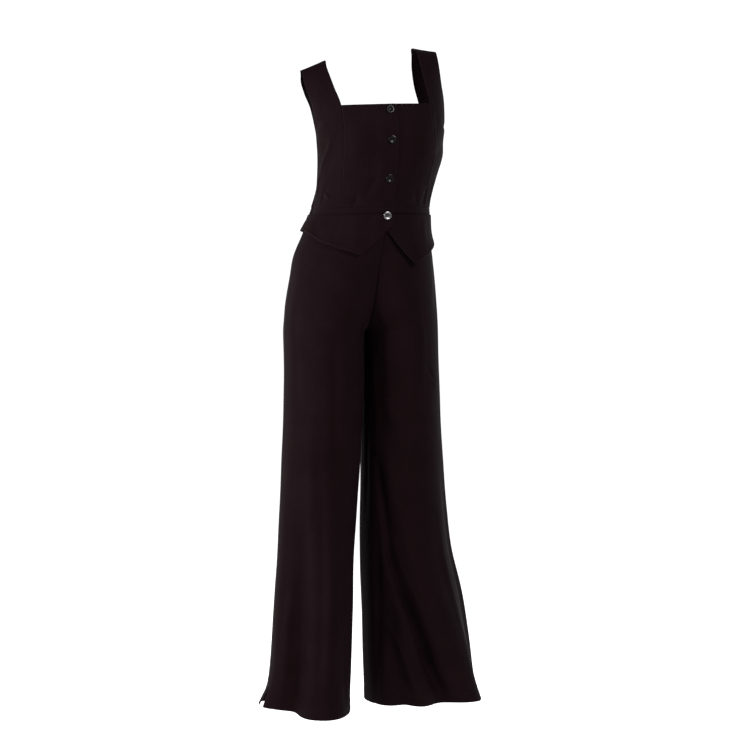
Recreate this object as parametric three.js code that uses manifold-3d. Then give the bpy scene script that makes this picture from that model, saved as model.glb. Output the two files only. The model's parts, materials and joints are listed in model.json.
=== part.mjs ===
// A sleeveless waistcoat-front jumpsuit with wide trouser legs, filled out as it hangs from
// two shoulders. Millimetres, +Z up. The front faces -Y and the wearer's left is +X. The
// origin lies between the two shoulder straps, at the height where the shoulders carry them.
// Every cloth piece is a thin closed wall laid over rings (bodice) or sections (trouser legs)
// that are worked out from the tables below.
import * as THREE from 'three';
import { mergeVertices } from 'three/addons/utils/BufferGeometryUtils.js';
import Module from 'manifold-3d';

const wasm = await Module();
wasm.setup();

// ---------------------------------------------------------------- driving dimensions
const WALL = 1.5; // crepe with its turned-in seam allowance
const SEAM_GAP = 0.4; // between neighbouring pieces
const LAP_RISE = WALL + 0.65; // a lapping piece stands this far above the one below it
const LAP_REACH = 14; // each front edge runs this far past the centre front
const LAP_RAMP = 24; // width over which the lapping front climbs
const STRAP_MIDDLE = 126; // centre line to the middle of a shoulder strap
const PRINCESS_WAIST = 94; // centre line to the princess seam at the waist
// How far the gathered back stands out at its waistband, from how many rows above it, and
// over what width it fades towards the side seams.
const BACK_BLOUSE = { rise: 6, rows: 1.5, fade: 4 };
const BUST = { aside: 72, level: -188, rise: 9, across: 46, along: 52 };
const BUTTON = { radius: 8.6, thick: 3.2, rim: 1.7, dish: 1.1, bevel: 0.6, hole: 0.95, pitch: 2.3 };
const BUTTON_ROWS = [5.25, 7.1, 9.2]; // torso rows of the three bodice buttons
const WAIST_BUTTON = -341; // level of the button on the waistband
const HEM_LIFT = { right: 11, left: -7, share: 0.35 }; // rise of the hem at the outer seam
// Side slit at each outer seam: its top, half its width, and the leg's mean radius there.
const VENT = { top: -1358, open: 11, radius: 100 };
const CROTCH = -592;
const HEM = -1416;

// Rings of the torso, from the shoulder line down to the lower edge of the waistband.
// half: half width. front, back: depth from the ring's centre. shift: centre to the side.
// tilt: how far the ring leans up to the wearer's left. slope: fall of a shoulder outward.
// turn: how far the ring is turned about the vertical. Angles are in degrees.
const TORSO = [
  { row: 0, level: 0, half: 190, front: 0, back: 0, shift: 0, tilt: 9, slope: 15, turn: 0 },
  { row: 1, level: -3, half: 184, front: 17, back: 15, shift: 0, tilt: 8.9, slope: 15, turn: 0 },
  { row: 2, level: -13, half: 176, front: 35, back: 29, shift: 0, tilt: 8.4, slope: 14, turn: -1 },
  { row: 3, level: -34, half: 168, front: 54, back: 44, shift: 2, tilt: 7, slope: 11, turn: -1 },
  { row: 4, level: -66, half: 158, front: 75, back: 61, shift: 9, tilt: 4.6, slope: 6, turn: -2 },
  { row: 5, level: -104, half: 149, front: 95, back: 76, shift: 20, tilt: 1.9, slope: 0, turn: -4 },
  { row: 6, level: -150, half: 143, front: 104, back: 86, shift: 26, tilt: 1.2, slope: 0, turn: -5 },
  { row: 7, level: -177, half: 140, front: 106, back: 87, shift: 26, tilt: 0.6, slope: 0, turn: -5 },
  { row: 8, level: -215, half: 137, front: 107, back: 88, shift: 25, tilt: 0, slope: 0, turn: -5 },
  { row: 9, level: -255, half: 132, front: 106, back: 89, shift: 19, tilt: 0, slope: 0, turn: -4 },
  { row: 10, level: -290, half: 129, front: 106, back: 91, shift: 13, tilt: 0, slope: 0, turn: -2 },
  { row: 11, level: -324, half: 129, front: 106, back: 94, shift: 7, tilt: 0, slope: 0, turn: 0 },
  { row: 12, level: -338, half: 132, front: 106, back: 95, shift: 5, tilt: 0, slope: 0, turn: 0 },
];
const BAND_DEPTH = 14; // height of the waistband
const BAND_FOOT = TORSO[TORSO.length - 1].level;
const MEAN_RADIUS = 96; // of the garment, for turning a gap at a seam into an angle
const SEAM_ANGLE = SEAM_GAP / 2 / MEAN_RADIUS;
const NECK_ROW = 5;
const UNDERARM_ROW = 6;
const WAIST_ROW = 11;
const BAND_ROW = 12;
const SHOULDER_STOP = 1.1; // front and back straps end this far from the shoulder line
const SHOULDER_ROW = SHOULDER_STOP / TORSO[1].front;

// Edges of the shoulder straps. front, back: centre line to the strap's inner edge.
// frontArm, backArm: the armhole edge, as its angle round the ring from the middle of the
// front or the back.
const STRAP = [
  { row: 0, front: 98, back: 98, frontArm: 54.7, backArm: 54.7 },
  { row: 1, front: 101, back: 102, frontArm: 56.5, backArm: 55.5 },
  { row: 2, front: 103, back: 106, frontArm: 60, backArm: 57.5 },
  { row: 3, front: 102.5, back: 108, frontArm: 66, backArm: 62 },
  { row: 4, front: 101, back: 109, frontArm: 73, backArm: 68 },
  { row: 5, front: 98, back: 110, frontArm: 82, backArm: 78 },
  { row: 6, front: 98, back: 110, frontArm: 90, backArm: 90 },
];

// Sections of each trouser leg. shift: the plane between the legs. reach: from it to the
// leg's centre. outer, inner: half width on each side of the leg's centre. front, back:
// depth. set: how far the leg stands back.
const RIGHT_LEG = [
  { level: -338, shift: 5, reach: 0, outer: 134, inner: 131, front: 106, back: 95, set: 0 },
  { level: -380, shift: 1, reach: 18, outer: 130, inner: 122, front: 106, back: 102, set: 0 },
  { level: -428, shift: -6, reach: 34, outer: 127, inner: 117, front: 105, back: 111, set: 0 },
  { level: -470, shift: -10, reach: 47, outer: 117, inner: 113, front: 103, back: 117, set: 0 },
  { level: -529, shift: -15, reach: 62, outer: 107, inner: 104, front: 100, back: 118, set: 0 },
  { level: -565, shift: -15, reach: 75, outer: 97, inner: 91, front: 98, back: 115, set: 0 },
  { level: CROTCH, shift: -15, reach: 86, outer: 88, inner: 85.7, front: 96, back: 111, set: 0 },
  { level: -703, shift: -13, reach: 90, outer: 87, inner: 88, front: 92, back: 100, set: -2 },
  { level: -875, shift: -15, reach: 96, outer: 86, inner: 86, front: 91, back: 94, set: -4 },
  { level: -1070, shift: -24, reach: 99, outer: 83, inner: 82, front: 98, back: 96, set: -4 },
  { level: -1210, shift: -20, reach: 111, outer: 85, inner: 84, front: 106, back: 100, set: -3 },
  { level: VENT.top, shift: -16, reach: 126, outer: 87, inner: 89, front: 115, back: 104, set: -2 },
  { level: HEM, shift: -15, reach: 129, outer: 111, inner: 91, front: 120, back: 107, set: -2 },
];
const LEFT_LEG = [
  { level: -338, shift: 5, reach: 0, outer: 131, inner: 131, front: 106, back: 95, set: 0 },
  { level: -380, shift: 1, reach: 18, outer: 116, inner: 122, front: 106, back: 102, set: 0 },
  { level: -428, shift: -6, reach: 34, outer: 114, inner: 117, front: 105, back: 111, set: 0 },
  { level: -470, shift: -10, reach: 47, outer: 110, inner: 113, front: 103, back: 117, set: 0 },
  { level: -529, shift: -15, reach: 62, outer: 105, inner: 104, front: 100, back: 118, set: 0 },
  { level: -565, shift: -15, reach: 75, outer: 94, inner: 91, front: 98, back: 115, set: 0 },
  { level: CROTCH, shift: -15, reach: 86, outer: 84, inner: 85.7, front: 96, back: 111, set: 0 },
  { level: -703, shift: -13, reach: 90, outer: 84.5, inner: 88, front: 92, back: 100, set: 4 },
  { level: -875, shift: -15, reach: 91, outer: 97, inner: 87, front: 92, back: 96, set: 9 },
  { level: -1070, shift: -24, reach: 112, outer: 105, inner: 101, front: 93, back: 96, set: 12 },
  { level: -1210, shift: -20, reach: 122, outer: 123, inner: 110, front: 96, back: 97, set: 13 },
  { level: VENT.top, shift: -16, reach: 128, outer: 135, inner: 116, front: 100, back: 98, set: 14 },
  { level: HEM, shift: -15, reach: 129, outer: 144, inner: 116, front: 102, back: 99, set: 14 },
];

// Long folds of the legs. across: 0 at the outer seam, 1 at the inner seam, where the fold
// starts and ends. width is in the same units. deep: depth at the start and end, a ridge
// where it is negative.
const FOLDS = [
  {
    leg: 'left', face: 'front', top: -850, foot: -1400,
    across: [0.8, 0.42], width: 0.075, deep: [5, 22],
  },
  {
    leg: 'left', face: 'front', top: -740, foot: -960,
    across: [0.76, 0.55], width: 0.06, deep: [4, 5],
  },
  {
    leg: 'left', face: 'front', top: -1130, foot: HEM,
    across: [0.76, 0.67], width: 0.07, deep: [4, 20],
  },
  {
    leg: 'left', face: 'front', top: -1050, foot: HEM,
    across: [0.5, 0.24], width: 0.11, deep: [-4, -22],
  },
  {
    leg: 'right', face: 'front', top: -830, foot: HEM,
    across: [0.24, 0.25], width: 0.14, deep: [3, 50],
  },
  {
    leg: 'right', face: 'front', top: -900, foot: HEM,
    across: [0.6, 0.6], width: 0.15, deep: [-2, -9],
  },
  {
    leg: 'right', face: 'back', top: -900, foot: HEM,
    across: [0.35, 0.3], width: 0.11, deep: [4, 20],
  },
  {
    leg: 'right', face: 'back', top: -760, foot: HEM,
    across: [0.72, 0.66], width: 0.1, deep: [3, 15],
  },
  {
    leg: 'left', face: 'back', top: -880, foot: HEM,
    across: [0.3, 0.36], width: 0.1, deep: [4, 18],
  },
  {
    leg: 'left', face: 'back', top: -780, foot: HEM,
    across: [0.68, 0.74], width: 0.09, deep: [3, 16],
  },
];

// Share of a leg's width over which folds fade at its seams, and shares of a fold's length
// over which it starts and tails off.
const FOLD_FADE = { seam: 0.1, start: 0.35, tail: 1.25 };

// How far the peplum's outer face stands outside the trousers under it.
const PEPLUM_STAND = [
  { level: -338, stand: 3 },
  { level: -380, stand: 6 },
  { level: -424, stand: 12 },
  { level: -446, stand: 16 },
];

// The peplum springs out further behind the wearer's right hip.
const SIDE_SPRING = { out: 3, turn: 0.35, below: [2, 25] };

// Lower edge of the peplum: direction from the centre front, negative on the wearer's right.
const PEPLUM_RIGHT_HEM = [
  { angle: -90, level: -371 },
  { angle: -74, level: -381 },
  { angle: -61, level: -396 },
  { angle: -24, level: -424 },
  { angle: 1, level: -372 },
  { angle: 8, level: -356 },
];
const PEPLUM_LEFT_HEM = [
  { angle: -8, level: -356 },
  { angle: 1, level: -372 },
  { angle: 33, level: -443 },
  { angle: 59, level: -414 },
  { angle: 76, level: -397 },
  { angle: 90, level: -395 },
];
const PEPLUM_BACK_HEM = [
  { angle: 90, level: -395 },
  { angle: 125, level: -390 },
  { angle: 180, level: -384 },
  { angle: 235, level: -378 },
  { angle: 270, level: -371 },
];

// How finely each piece is divided.
const GRID = {
  rowsPerRing: 2,
  centreColumns: 5, // one fewer than the stops across a front centre
  sideColumns: 6,
  neckColumns: 4,
  strapColumns: 3,
  bandColumns: 7,
  legColumns: 12,
  hipRows: 8,
  legRows: 12,
  peplumRows: 3,
  buttonSides: 20,
};

// ---------------------------------------------------------------- materials
const finish = (color, roughness, metalness) =>
  new THREE.MeshStandardMaterial({ color, roughness, metalness });
const crepe = finish(0x17120f, 0.85, 0);
const blackPlastic = finish(0x0a0a0b, 0.18, 0);
const silver = finish(0xc9c9cc, 0.25, 1);

// ---------------------------------------------------------------- numbers
const radians = THREE.MathUtils.degToRad;
const { clamp, lerp, smoothstep } = THREE.MathUtils;

/** Smooth value of a named column at a place down a table that is ordered by key. */
function along(table, key, name, place) {
  const sign = Math.sign(table[1][key] - table[0][key]);
  let k = table.findIndex((entry) => sign * entry[key] > sign * place) - 1;
  if (k === -2) k = table.length - 2;
  k = Math.max(k, 0);
  const span = table[k + 1][key] - table[k][key];
  const t = clamp((place - table[k][key]) / span, 0, 1);
  const slopeAt = (m) => {
    const a = table[Math.max(m - 1, 0)];
    const b = table[Math.min(m + 1, table.length - 1)];
    return (b[name] - a[name]) / (b[key] - a[key]);
  };
  const start = table[k][name];
  const end = table[k + 1][name];
  return (
    start * (1 + 2 * t) * (1 - t) ** 2 +
    end * t * t * (3 - 2 * t) +
    span * slopeAt(k) * t * (1 - t) ** 2 -
    span * slopeAt(k + 1) * t * t * (1 - t)
  );
}

/** Straight-line value of a column, for outlines with sharp corners. */
function straight(table, key, name, place) {
  const k = clamp(table.findIndex((entry) => entry[key] > place) - 1, 0, table.length - 2);
  const last = place >= table[table.length - 1][key] ? table.length - 2 : k;
  const t = (place - table[last][key]) / (table[last + 1][key] - table[last][key]);
  return lerp(table[last][name], table[last + 1][name], clamp(t, 0, 1));
}

/** Numbers from first to last in equal steps. */
function spread(first, last, steps) {
  return Array.from({ length: steps + 1 }, (_, k) => lerp(first, last, k / steps));
}

// ---------------------------------------------------------------- cloth wall
/**
 * A closed wall over a grid. stops(i, j) gives the surface coordinates of grid point (i, j),
 * surface(a, b) gives the outer face, outward(point) a rough outward direction, and
 * present(i, j) says which cells are cloth.
 */
function cloth(name, columns, rows, stops, surface, outward, present = () => true) {
  const step = 1e-3; // of the surface coordinates, to feel its slope
  const outer = [];
  const inner = [];
  let side = 0;
  for (let j = 0; j <= rows; j += 1) {
    for (let i = 0; i <= columns; i += 1) {
      const [a, b] = stops(i, j);
      const point = surface(a, b);
      const across = surface(a + step, b).sub(surface(a - step, b));
      const down = surface(a, b + step).sub(surface(a, b - step));
      const normal = across.cross(down).normalize();
      if (side === 0) side = Math.sign(normal.dot(outward(point)));
      normal.multiplyScalar(side);
      outer.push(point);
      inner.push(point.clone().addScaledVector(normal, -WALL));
    }
  }
  const at = (i, j) => j * (columns + 1) + i;
  const gridNormal = outer[at(1, rows)].clone().sub(outer[at(0, rows)]);
  gridNormal.cross(outer[at(0, rows - 1)].clone().sub(outer[at(0, rows)])).negate();
  const clockwise = gridNormal.dot(outward(outer[at(0, rows)])) < 0;
  const faces = [];
  for (let j = 0; j < rows; j += 1) {
    for (let i = 0; i < columns; i += 1) {
      if (!present(i, j)) continue;
      const corners = [at(i, j), at(i + 1, j), at(i + 1, j + 1), at(i, j + 1)];
      faces.push(clockwise ? corners.reverse() : corners);
    }
  }
  return wallMesh(name, outer, inner, faces);
}

/**
 * Joins an outer and an inner layer of four-sided faces with walls along their open edges.
 * Each face is divided along its shorter diagonal, and both layers alike.
 */
function wallMesh(name, outer, inner, faces) {
  const shift = outer.length;
  const index = [];
  const quad = (a, b, c, d) => index.push(a, b, c, a, c, d);
  const edges = new Set();
  for (const face of faces) {
    face.forEach((corner, k) => edges.add(`${corner} ${face[(k + 1) % 4]}`));
  }
  for (const face of faces) {
    const length = (k) => outer[face[k]].distanceTo(outer[face[k + 2]]);
    const [a, b, c, d] = length(0) <= length(1) ? face : [...face.slice(1), face[0]];
    quad(a, b, c, d);
    quad(a + shift, d + shift, c + shift, b + shift);
    face.forEach((corner, k) => {
      const next = face[(k + 1) % 4];
      if (!edges.has(`${next} ${corner}`)) quad(next, corner, corner + shift, next + shift);
    });
  }
  const positions = [...outer, ...inner].flatMap((point) => point.toArray());
  const geometry = new THREE.BufferGeometry();
  geometry.setAttribute('position', new THREE.Float32BufferAttribute(positions, 3));
  geometry.setIndex(index);
  const mesh = new THREE.Mesh(dropUnused(geometry), crepe);
  mesh.name = name;
  return mesh;
}

/** Keeps only the vertices that the triangles use. */
function dropUnused(geometry) {
  const loose = geometry.toNonIndexed();
  return mergeVertices(loose, 1e-5);
}

// ---------------------------------------------------------------- torso surface
const torso = (name, row) => along(TORSO, 'row', name, row);

/** Angle on a ring of a point that lies a given distance to the side of its centre. */
function angleAside(row, aside) {
  return Math.asin(clamp(aside / torso('half', row), -1, 1));
}

/**
 * Point on the torso. angle: 0 at the centre front, positive to the wearer's left, half a
 * turn at the centre back. rise(aside): how far the cloth stands outside the ring.
 */
function torsoPoint(angle, row, rise = () => 0) {
  const half = torso('half', row);
  const depth = torso(Math.cos(angle) > 0 ? 'front' : 'back', row);
  const level = torso('level', row);
  const local = new THREE.Vector2(half * Math.sin(angle), -depth * Math.cos(angle));
  const normal = new THREE.Vector2(Math.sin(angle) * depth, -Math.cos(angle) * half).normalize();
  const lift = rise(local.x, row) + (Math.cos(angle) > 0 ? bust(local.x, level) : 0);
  const aside = local.x;
  local.addScaledVector(normal, lift).rotateAround(new THREE.Vector2(), radians(torso('turn', row)));
  const tilt = Math.tan(radians(torso('tilt', row)));
  const slope = Math.tan(radians(torso('slope', row)));
  const height = level + aside * tilt - (Math.abs(aside) - STRAP_MIDDLE) * slope;
  return new THREE.Vector3(local.x + torso('shift', row), local.y, height);
}

/** Soft fullness of the bodice on each side of the centre front. */
function bust(aside, level) {
  const x = (Math.abs(aside) - BUST.aside) / BUST.across;
  const z = (level - BUST.level) / BUST.along;
  return BUST.rise * Math.exp(-x * x - z * z);
}

/** The back blouses out over its elasticated waistband, between the side seams. */
function backRise(aside, row) {
  const blouse = smoothstep(row, WAIST_ROW - BACK_BLOUSE.rows, WAIST_ROW);
  const sides = smoothstep(torso('half', row) - Math.abs(aside), 0, BACK_BLOUSE.fade);
  return BACK_BLOUSE.rise * blouse * sides;
}

/** Lapping front: flat on the ring, then one wall higher towards its edge. */
function lapRise(aside) {
  return LAP_RISE * smoothstep(aside, -LAP_REACH - LAP_RAMP, -LAP_REACH - 1);
}

const radial = (point) => new THREE.Vector3(point.x, point.y, 0).addScalar(1e-6);

/** Distance from the centre line to the strap's inner edge and, below it, the princess seam. */
function princess(row) {
  const t = clamp((row - NECK_ROW) / (WAIST_ROW - NECK_ROW), 0, 1);
  const edge = along(STRAP, 'row', 'front', Math.min(row, NECK_ROW));
  return lerp(edge, PRINCESS_WAIST, t);
}

/** Angle of the armhole edge, which becomes the side seam below the arm. */
function armhole(row, face) {
  return radians(along(STRAP, 'row', face, Math.min(row, UNDERARM_ROW)));
}

/** Column angles of a front centre piece: the princess seam, then shared stops at the lap. */
function frontStops(row, wearerSide) {
  const seam = princess(row);
  const near = LAP_REACH + LAP_RAMP;
  const asides = [seam, (seam + near) / 2, near, LAP_REACH, 0, -LAP_REACH];
  const angles = asides.map((aside) => wearerSide * angleAside(row, aside));
  angles[0] -= wearerSide * SEAM_ANGLE;
  return angles;
}

const bodiceRows = (first, last) => spread(first, last, Math.round((last - first) * GRID.rowsPerRing));
const BODICE_FOOT = WAIST_ROW - SEAM_GAP / 2 / BAND_DEPTH;

function frontCentre(name, wearerSide) {
  const rows = bodiceRows(NECK_ROW, BODICE_FOOT);
  const rise = wearerSide < 0 ? lapRise : undefined;
  return cloth(
    name,
    GRID.centreColumns,
    rows.length - 1,
    (i, j) => [frontStops(rows[j], wearerSide)[i], rows[j]],
    (angle, row) => torsoPoint(angle, row, rise),
    radial,
  );
}

function frontSide(name, wearerSide) {
  const body = bodiceRows(NECK_ROW, BODICE_FOOT);
  const strap = bodiceRows(0, NECK_ROW);
  strap[0] = SHOULDER_ROW;
  const rows = [...strap, ...body.slice(1)];
  const stops = (i, j) => {
    const row = rows[j];
    const inside = angleAside(row, princess(row)) + (row > NECK_ROW ? SEAM_ANGLE : 0);
    const outside = armhole(row, 'frontArm') - (row >= UNDERARM_ROW ? SEAM_ANGLE : 0);
    return [wearerSide * lerp(inside, outside, i / GRID.sideColumns), row];
  };
  return cloth(name, GRID.sideColumns, rows.length - 1, stops, torsoPoint, radial);
}

/** The back in one piece: a body below the neck edge with a strap up each side. */
function backBodice(name) {
  const rows = [...bodiceRows(0, UNDERARM_ROW), ...bodiceRows(UNDERARM_ROW, BODICE_FOOT).slice(1)];
  rows[0] = SHOULDER_ROW;
  const neckJ = UNDERARM_ROW * GRID.rowsPerRing;
  const { neckColumns, strapColumns } = GRID;
  const reach = neckColumns + strapColumns;
  const stops = (i, j) => {
    const row = rows[j];
    const offset = i - reach;
    const inside = angleAside(row, along(STRAP, 'row', 'back', Math.min(row, UNDERARM_ROW)));
    const outside = armhole(row, 'backArm') - (row >= UNDERARM_ROW ? SEAM_ANGLE : 0);
    const strapShare = (Math.abs(offset) - neckColumns) / strapColumns;
    const angle =
      strapShare > 0 ? lerp(inside, outside, strapShare) : (inside * Math.abs(offset)) / neckColumns;
    return [Math.PI - Math.sign(offset) * angle, row];
  };
  const present = (i, j) => j >= neckJ || Math.abs(i + 0.5 - reach) > neckColumns;
  const surface = (angle, row) => torsoPoint(angle, row, backRise);
  return cloth(name, 2 * reach, rows.length - 1, stops, surface, radial, present);
}

// ---------------------------------------------------------------- waistband
function waistbandFront(name, wearerSide) {
  const rows = [WAIST_ROW + SEAM_GAP / 2 / BAND_DEPTH, BAND_ROW - SEAM_GAP / 2 / BAND_DEPTH];
  const rise = wearerSide < 0 ? lapRise : undefined;
  const stops = (i, j) => {
    const asides = [-LAP_REACH, 0, LAP_REACH, LAP_REACH + LAP_RAMP];
    const lap = asides.map((aside) => angleAside(rows[j], aside));
    const side = Math.PI / 2 - SEAM_ANGLE;
    const angle = i < 4 ? lap[i] : lerp(lap[3], side, (i - 3) / (GRID.bandColumns - 3));
    return [wearerSide * angle, rows[j]];
  };
  return cloth(name, GRID.bandColumns, 1, stops, (a, b) => torsoPoint(a, b, rise), radial);
}

function waistbandBack(name) {
  const rows = [WAIST_ROW + SEAM_GAP / 2 / BAND_DEPTH, BAND_ROW - SEAM_GAP / 2 / BAND_DEPTH];
  const quarter = Math.PI / 2 - SEAM_ANGLE;
  const angles = spread(Math.PI - quarter, Math.PI + quarter, 2 * GRID.bandColumns);
  const surface = (angle, row) => torsoPoint(angle, row, backRise);
  return cloth(name, 2 * GRID.bandColumns, 1, (i, j) => [angles[i], rows[j]], surface, radial);
}

// ---------------------------------------------------------------- peplum
/** Distance from the section's middle to the outside of the trousers in one direction. */
function trouserReach(angle, level) {
  const table = Math.sin(angle) < 0 ? RIGHT_LEG : LEFT_LEG;
  const section = (name) => along(table, 'level', name, level);
  const reach = section('reach');
  const depth = section(Math.cos(angle) > 0 ? 'front' : 'back');
  const sine = Math.abs(Math.sin(angle));
  const cosine = Math.cos(angle);
  const cross = (half) => {
    const a = (sine / half) ** 2 + (cosine / depth) ** 2;
    const b = (sine * reach) / half ** 2;
    const c = (reach / half) ** 2 - 1;
    return (b + Math.sqrt(Math.max(b * b - a * c, 0))) / a;
  };
  const wide = cross(section('outer'));
  return wide * sine > reach ? wide : cross(section('inner'));
}

/** Point on the peplum. drop: 0 at the waistband, 1 at the lower edge given by hem. */
function peplumPoint(angle, drop, hem, rise) {
  const top = PEPLUM_STAND[0].level - SEAM_GAP / 2;
  const foot = straight(hem, 'angle', 'level', THREE.MathUtils.radToDeg(angle));
  const level = lerp(top, foot, drop);
  const sideways = Math.max(0, -Math.sin(angle + SIDE_SPRING.turn)) ** 4;
  const spring = SIDE_SPRING.out * sideways * smoothstep(top - level, ...SIDE_SPRING.below);
  const under = trouserReach(angle, level) + along(PEPLUM_STAND, 'level', 'stand', level) + spring;
  const reach = under + rise(under * Math.sin(angle), WAIST_ROW);
  const shift = along(RIGHT_LEG, 'level', 'shift', level);
  return new THREE.Vector3(shift + reach * Math.sin(angle), -reach * Math.cos(angle), level);
}

/** One piece of the peplum, divided between the corners of its lower edge. */
function peplum(name, hem, corners, rise = () => 0) {
  const angles = [corners[0].angle];
  for (let k = 1; k < corners.length; k += 1) {
    angles.push(...spread(corners[k - 1].angle, corners[k].angle, corners[k].steps).slice(1));
  }
  return cloth(
    name,
    angles.length - 1,
    GRID.peplumRows,
    (i, j) => [radians(angles[i]), j / GRID.peplumRows],
    (angle, drop) => peplumPoint(angle, drop, hem, rise),
    radial,
  );
}

// ---------------------------------------------------------------- trouser legs
/** Depth of all folds at a place on a leg, fading to nothing at both seams. */
function foldDepth(leg, face, across, level) {
  const edge = smoothstep(across, 0, FOLD_FADE.seam) * smoothstep(1 - across, 0, FOLD_FADE.seam);
  let depth = 0;
  for (const fold of FOLDS) {
    if (fold.leg !== leg || fold.face !== face) continue;
    const t = (fold.top - level) / (fold.top - fold.foot);
    const middle = lerp(...fold.across, clamp(t, 0, 1));
    const start = smoothstep(t, 0, FOLD_FADE.start);
    const tail = 1 - smoothstep(t, 1, FOLD_FADE.tail);
    const bell = Math.exp(-(((across - middle) / fold.width) ** 2));
    depth += lerp(...fold.deep, clamp(t, 0, 1)) * start * tail * bell;
  }
  return depth * edge;
}

/** Angle round the section at which a leg meets the plane between the legs, or the inseam. */
function innerAngle(table, level) {
  const reach = along(table, 'level', 'reach', level) - SEAM_GAP / 2;
  const inner = along(table, 'level', 'inner', level);
  const inseam = Math.PI - SEAM_ANGLE;
  if (level < CROTCH || reach >= inner) return inseam;
  return Math.min(Math.acos(-reach / inner), inseam);
}

/** Point on a leg. turn: 0 at the outer seam, half a turn at the inseam. */
function legPoint(table, leg, face, turn, level) {
  const section = (name) => along(table, 'level', name, level);
  const outside = leg === 'right' ? -1 : 1;
  const forward = face === 'front' ? -1 : 1;
  const half = section(Math.cos(turn) > 0 ? 'outer' : 'inner');
  const depth = section(face);
  const inward = foldDepth(leg, face, turn / Math.PI, level);
  const x = outside * (section('reach') + (half - inward) * Math.cos(turn));
  const y = forward * (depth - inward) * Math.sin(turn);
  return new THREE.Vector3(section('shift') + x, section('set') + y, level);
}

function trouserPanel(name, leg, face) {
  const table = leg === 'right' ? RIGHT_LEG : LEFT_LEG;
  const top = BAND_FOOT - SEAM_GAP;
  const { legColumns } = GRID;
  const hips = spread(1, 0, GRID.hipRows).map((t) => lerp(CROTCH, top, t * t));
  const levels = [...hips, ...spread(CROTCH, VENT.top, GRID.legRows).slice(1), HEM];
  const stops = (i, j) => {
    const atSeam = 1 - smoothstep(i / legColumns, 0, HEM_LIFT.share);
    const level = levels[j] + (levels[j] === HEM ? HEM_LIFT[leg] * atSeam : 0);
    const open = Math.max(0, (VENT.top - level) / (VENT.top - HEM)) * VENT.open;
    const start = SEAM_ANGLE + open / VENT.radius;
    const end = innerAngle(table, level);
    return [lerp(start, end, i / legColumns), level];
  };
  const centre = (level) => along(table, 'level', 'shift', level)
    + (leg === 'right' ? -1 : 1) * along(table, 'level', 'reach', level);
  const outward = (point) => new THREE.Vector3(point.x - centre(point.z), point.y, 0);
  const surface = (turn, level) => legPoint(table, leg, face, turn, level);
  return cloth(name, legColumns, levels.length - 1, stops, surface, outward);
}

// ---------------------------------------------------------------- buttons
function toSolid(geometry) {
  const bare = geometry.clone();
  bare.deleteAttribute('normal');
  bare.deleteAttribute('uv');
  const merged = mergeVertices(bare, 1e-4);
  const triangles = [];
  const { array } = merged.index;
  for (let k = 0; k < array.length; k += 3) {
    const [a, b, c] = [array[k], array[k + 1], array[k + 2]];
    if (a !== b && b !== c && c !== a) triangles.push(a, b, c);
  }
  const vertProperties = Float32Array.from(merged.attributes.position.array);
  const triVerts = Uint32Array.from(triangles);
  return new wasm.Manifold(new wasm.Mesh({ numProp: 3, vertProperties, triVerts }));
}

function toGeometry(solid) {
  const mesh = solid.getMesh();
  const geometry = new THREE.BufferGeometry();
  const positions = Float32Array.from(mesh.vertProperties);
  geometry.setAttribute('position', new THREE.Float32BufferAttribute(positions, 3));
  geometry.setIndex(Array.from(mesh.triVerts));
  return geometry;
}

/** A round sew-through button with a raised rim and four holes. It lies along +Y. */
function buttonGeometry() {
  const { radius, thick, rim, dish, bevel, hole, pitch } = BUTTON;
  const profile = [
    [0, 0],
    [radius - bevel, 0],
    [radius, bevel],
    [radius, thick - bevel],
    [radius - bevel, thick],
    [radius - rim, thick],
    [radius - rim - dish, thick - dish],
    [0, thick - dish],
  ].map(([r, h]) => new THREE.Vector2(r, h));
  let solid = toSolid(new THREE.LatheGeometry(profile, GRID.buttonSides));
  for (let k = 0; k < 4; k += 1) {
    const drill = new THREE.CylinderGeometry(hole, hole, 4 * thick, 8);
    const turn = Math.PI / 4 + (k * Math.PI) / 2;
    drill.translate(pitch * Math.cos(turn), 0, pitch * Math.sin(turn));
    solid = solid.subtract(toSolid(drill));
  }
  return toGeometry(solid);
}

/** A button whose back stands a seam gap off the cloth at a place, facing along a normal. */
function button(name, place, normal, material) {
  const mesh = new THREE.Mesh(buttonGeometry(), material);
  mesh.name = name;
  mesh.quaternion.setFromUnitVectors(new THREE.Vector3(0, 1, 0), normal);
  mesh.position.copy(place).addScaledVector(normal, SEAM_GAP);
  return mesh;
}

/** A button on the lapping front at a torso row. */
function bodiceButton(name, row) {
  const place = torsoPoint(0, row, lapRise);
  const down = torsoPoint(0, row + 0.2, lapRise).sub(torsoPoint(0, row - 0.2, lapRise));
  const turn = radians(torso('turn', row));
  const sideways = new THREE.Vector3(Math.cos(turn), Math.sin(turn), 0);
  return button(name, place, down.cross(sideways).normalize(), blackPlastic);
}

/** The waist button, which lies on the top of the lapping peplum, clear of its slope. */
function waistButton(name) {
  const place = peplumPoint(0, 1, [
    { angle: -1, level: WAIST_BUTTON - BUTTON.radius },
    { angle: 1, level: WAIST_BUTTON - BUTTON.radius },
  ], lapRise);
  place.z = WAIST_BUTTON;
  return button(name, place, new THREE.Vector3(0, -1, 0), silver);
}

// ---------------------------------------------------------------- the jumpsuit
const jumpsuit = new THREE.Group();
const lap = THREE.MathUtils.radToDeg(Math.asin(LAP_REACH / RIGHT_LEG[0].front));
const peplumSide = 90 - THREE.MathUtils.radToDeg(SEAM_ANGLE);

jumpsuit.add(
  frontCentre('front_centre_right', -1),
  frontCentre('front_centre_left', 1),
  frontSide('front_side_right', -1),
  frontSide('front_side_left', 1),
  backBodice('back_bodice'),
  waistbandFront('waistband_front_right', -1),
  waistbandFront('waistband_front_left', 1),
  waistbandBack('waistband_back'),
);

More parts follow.
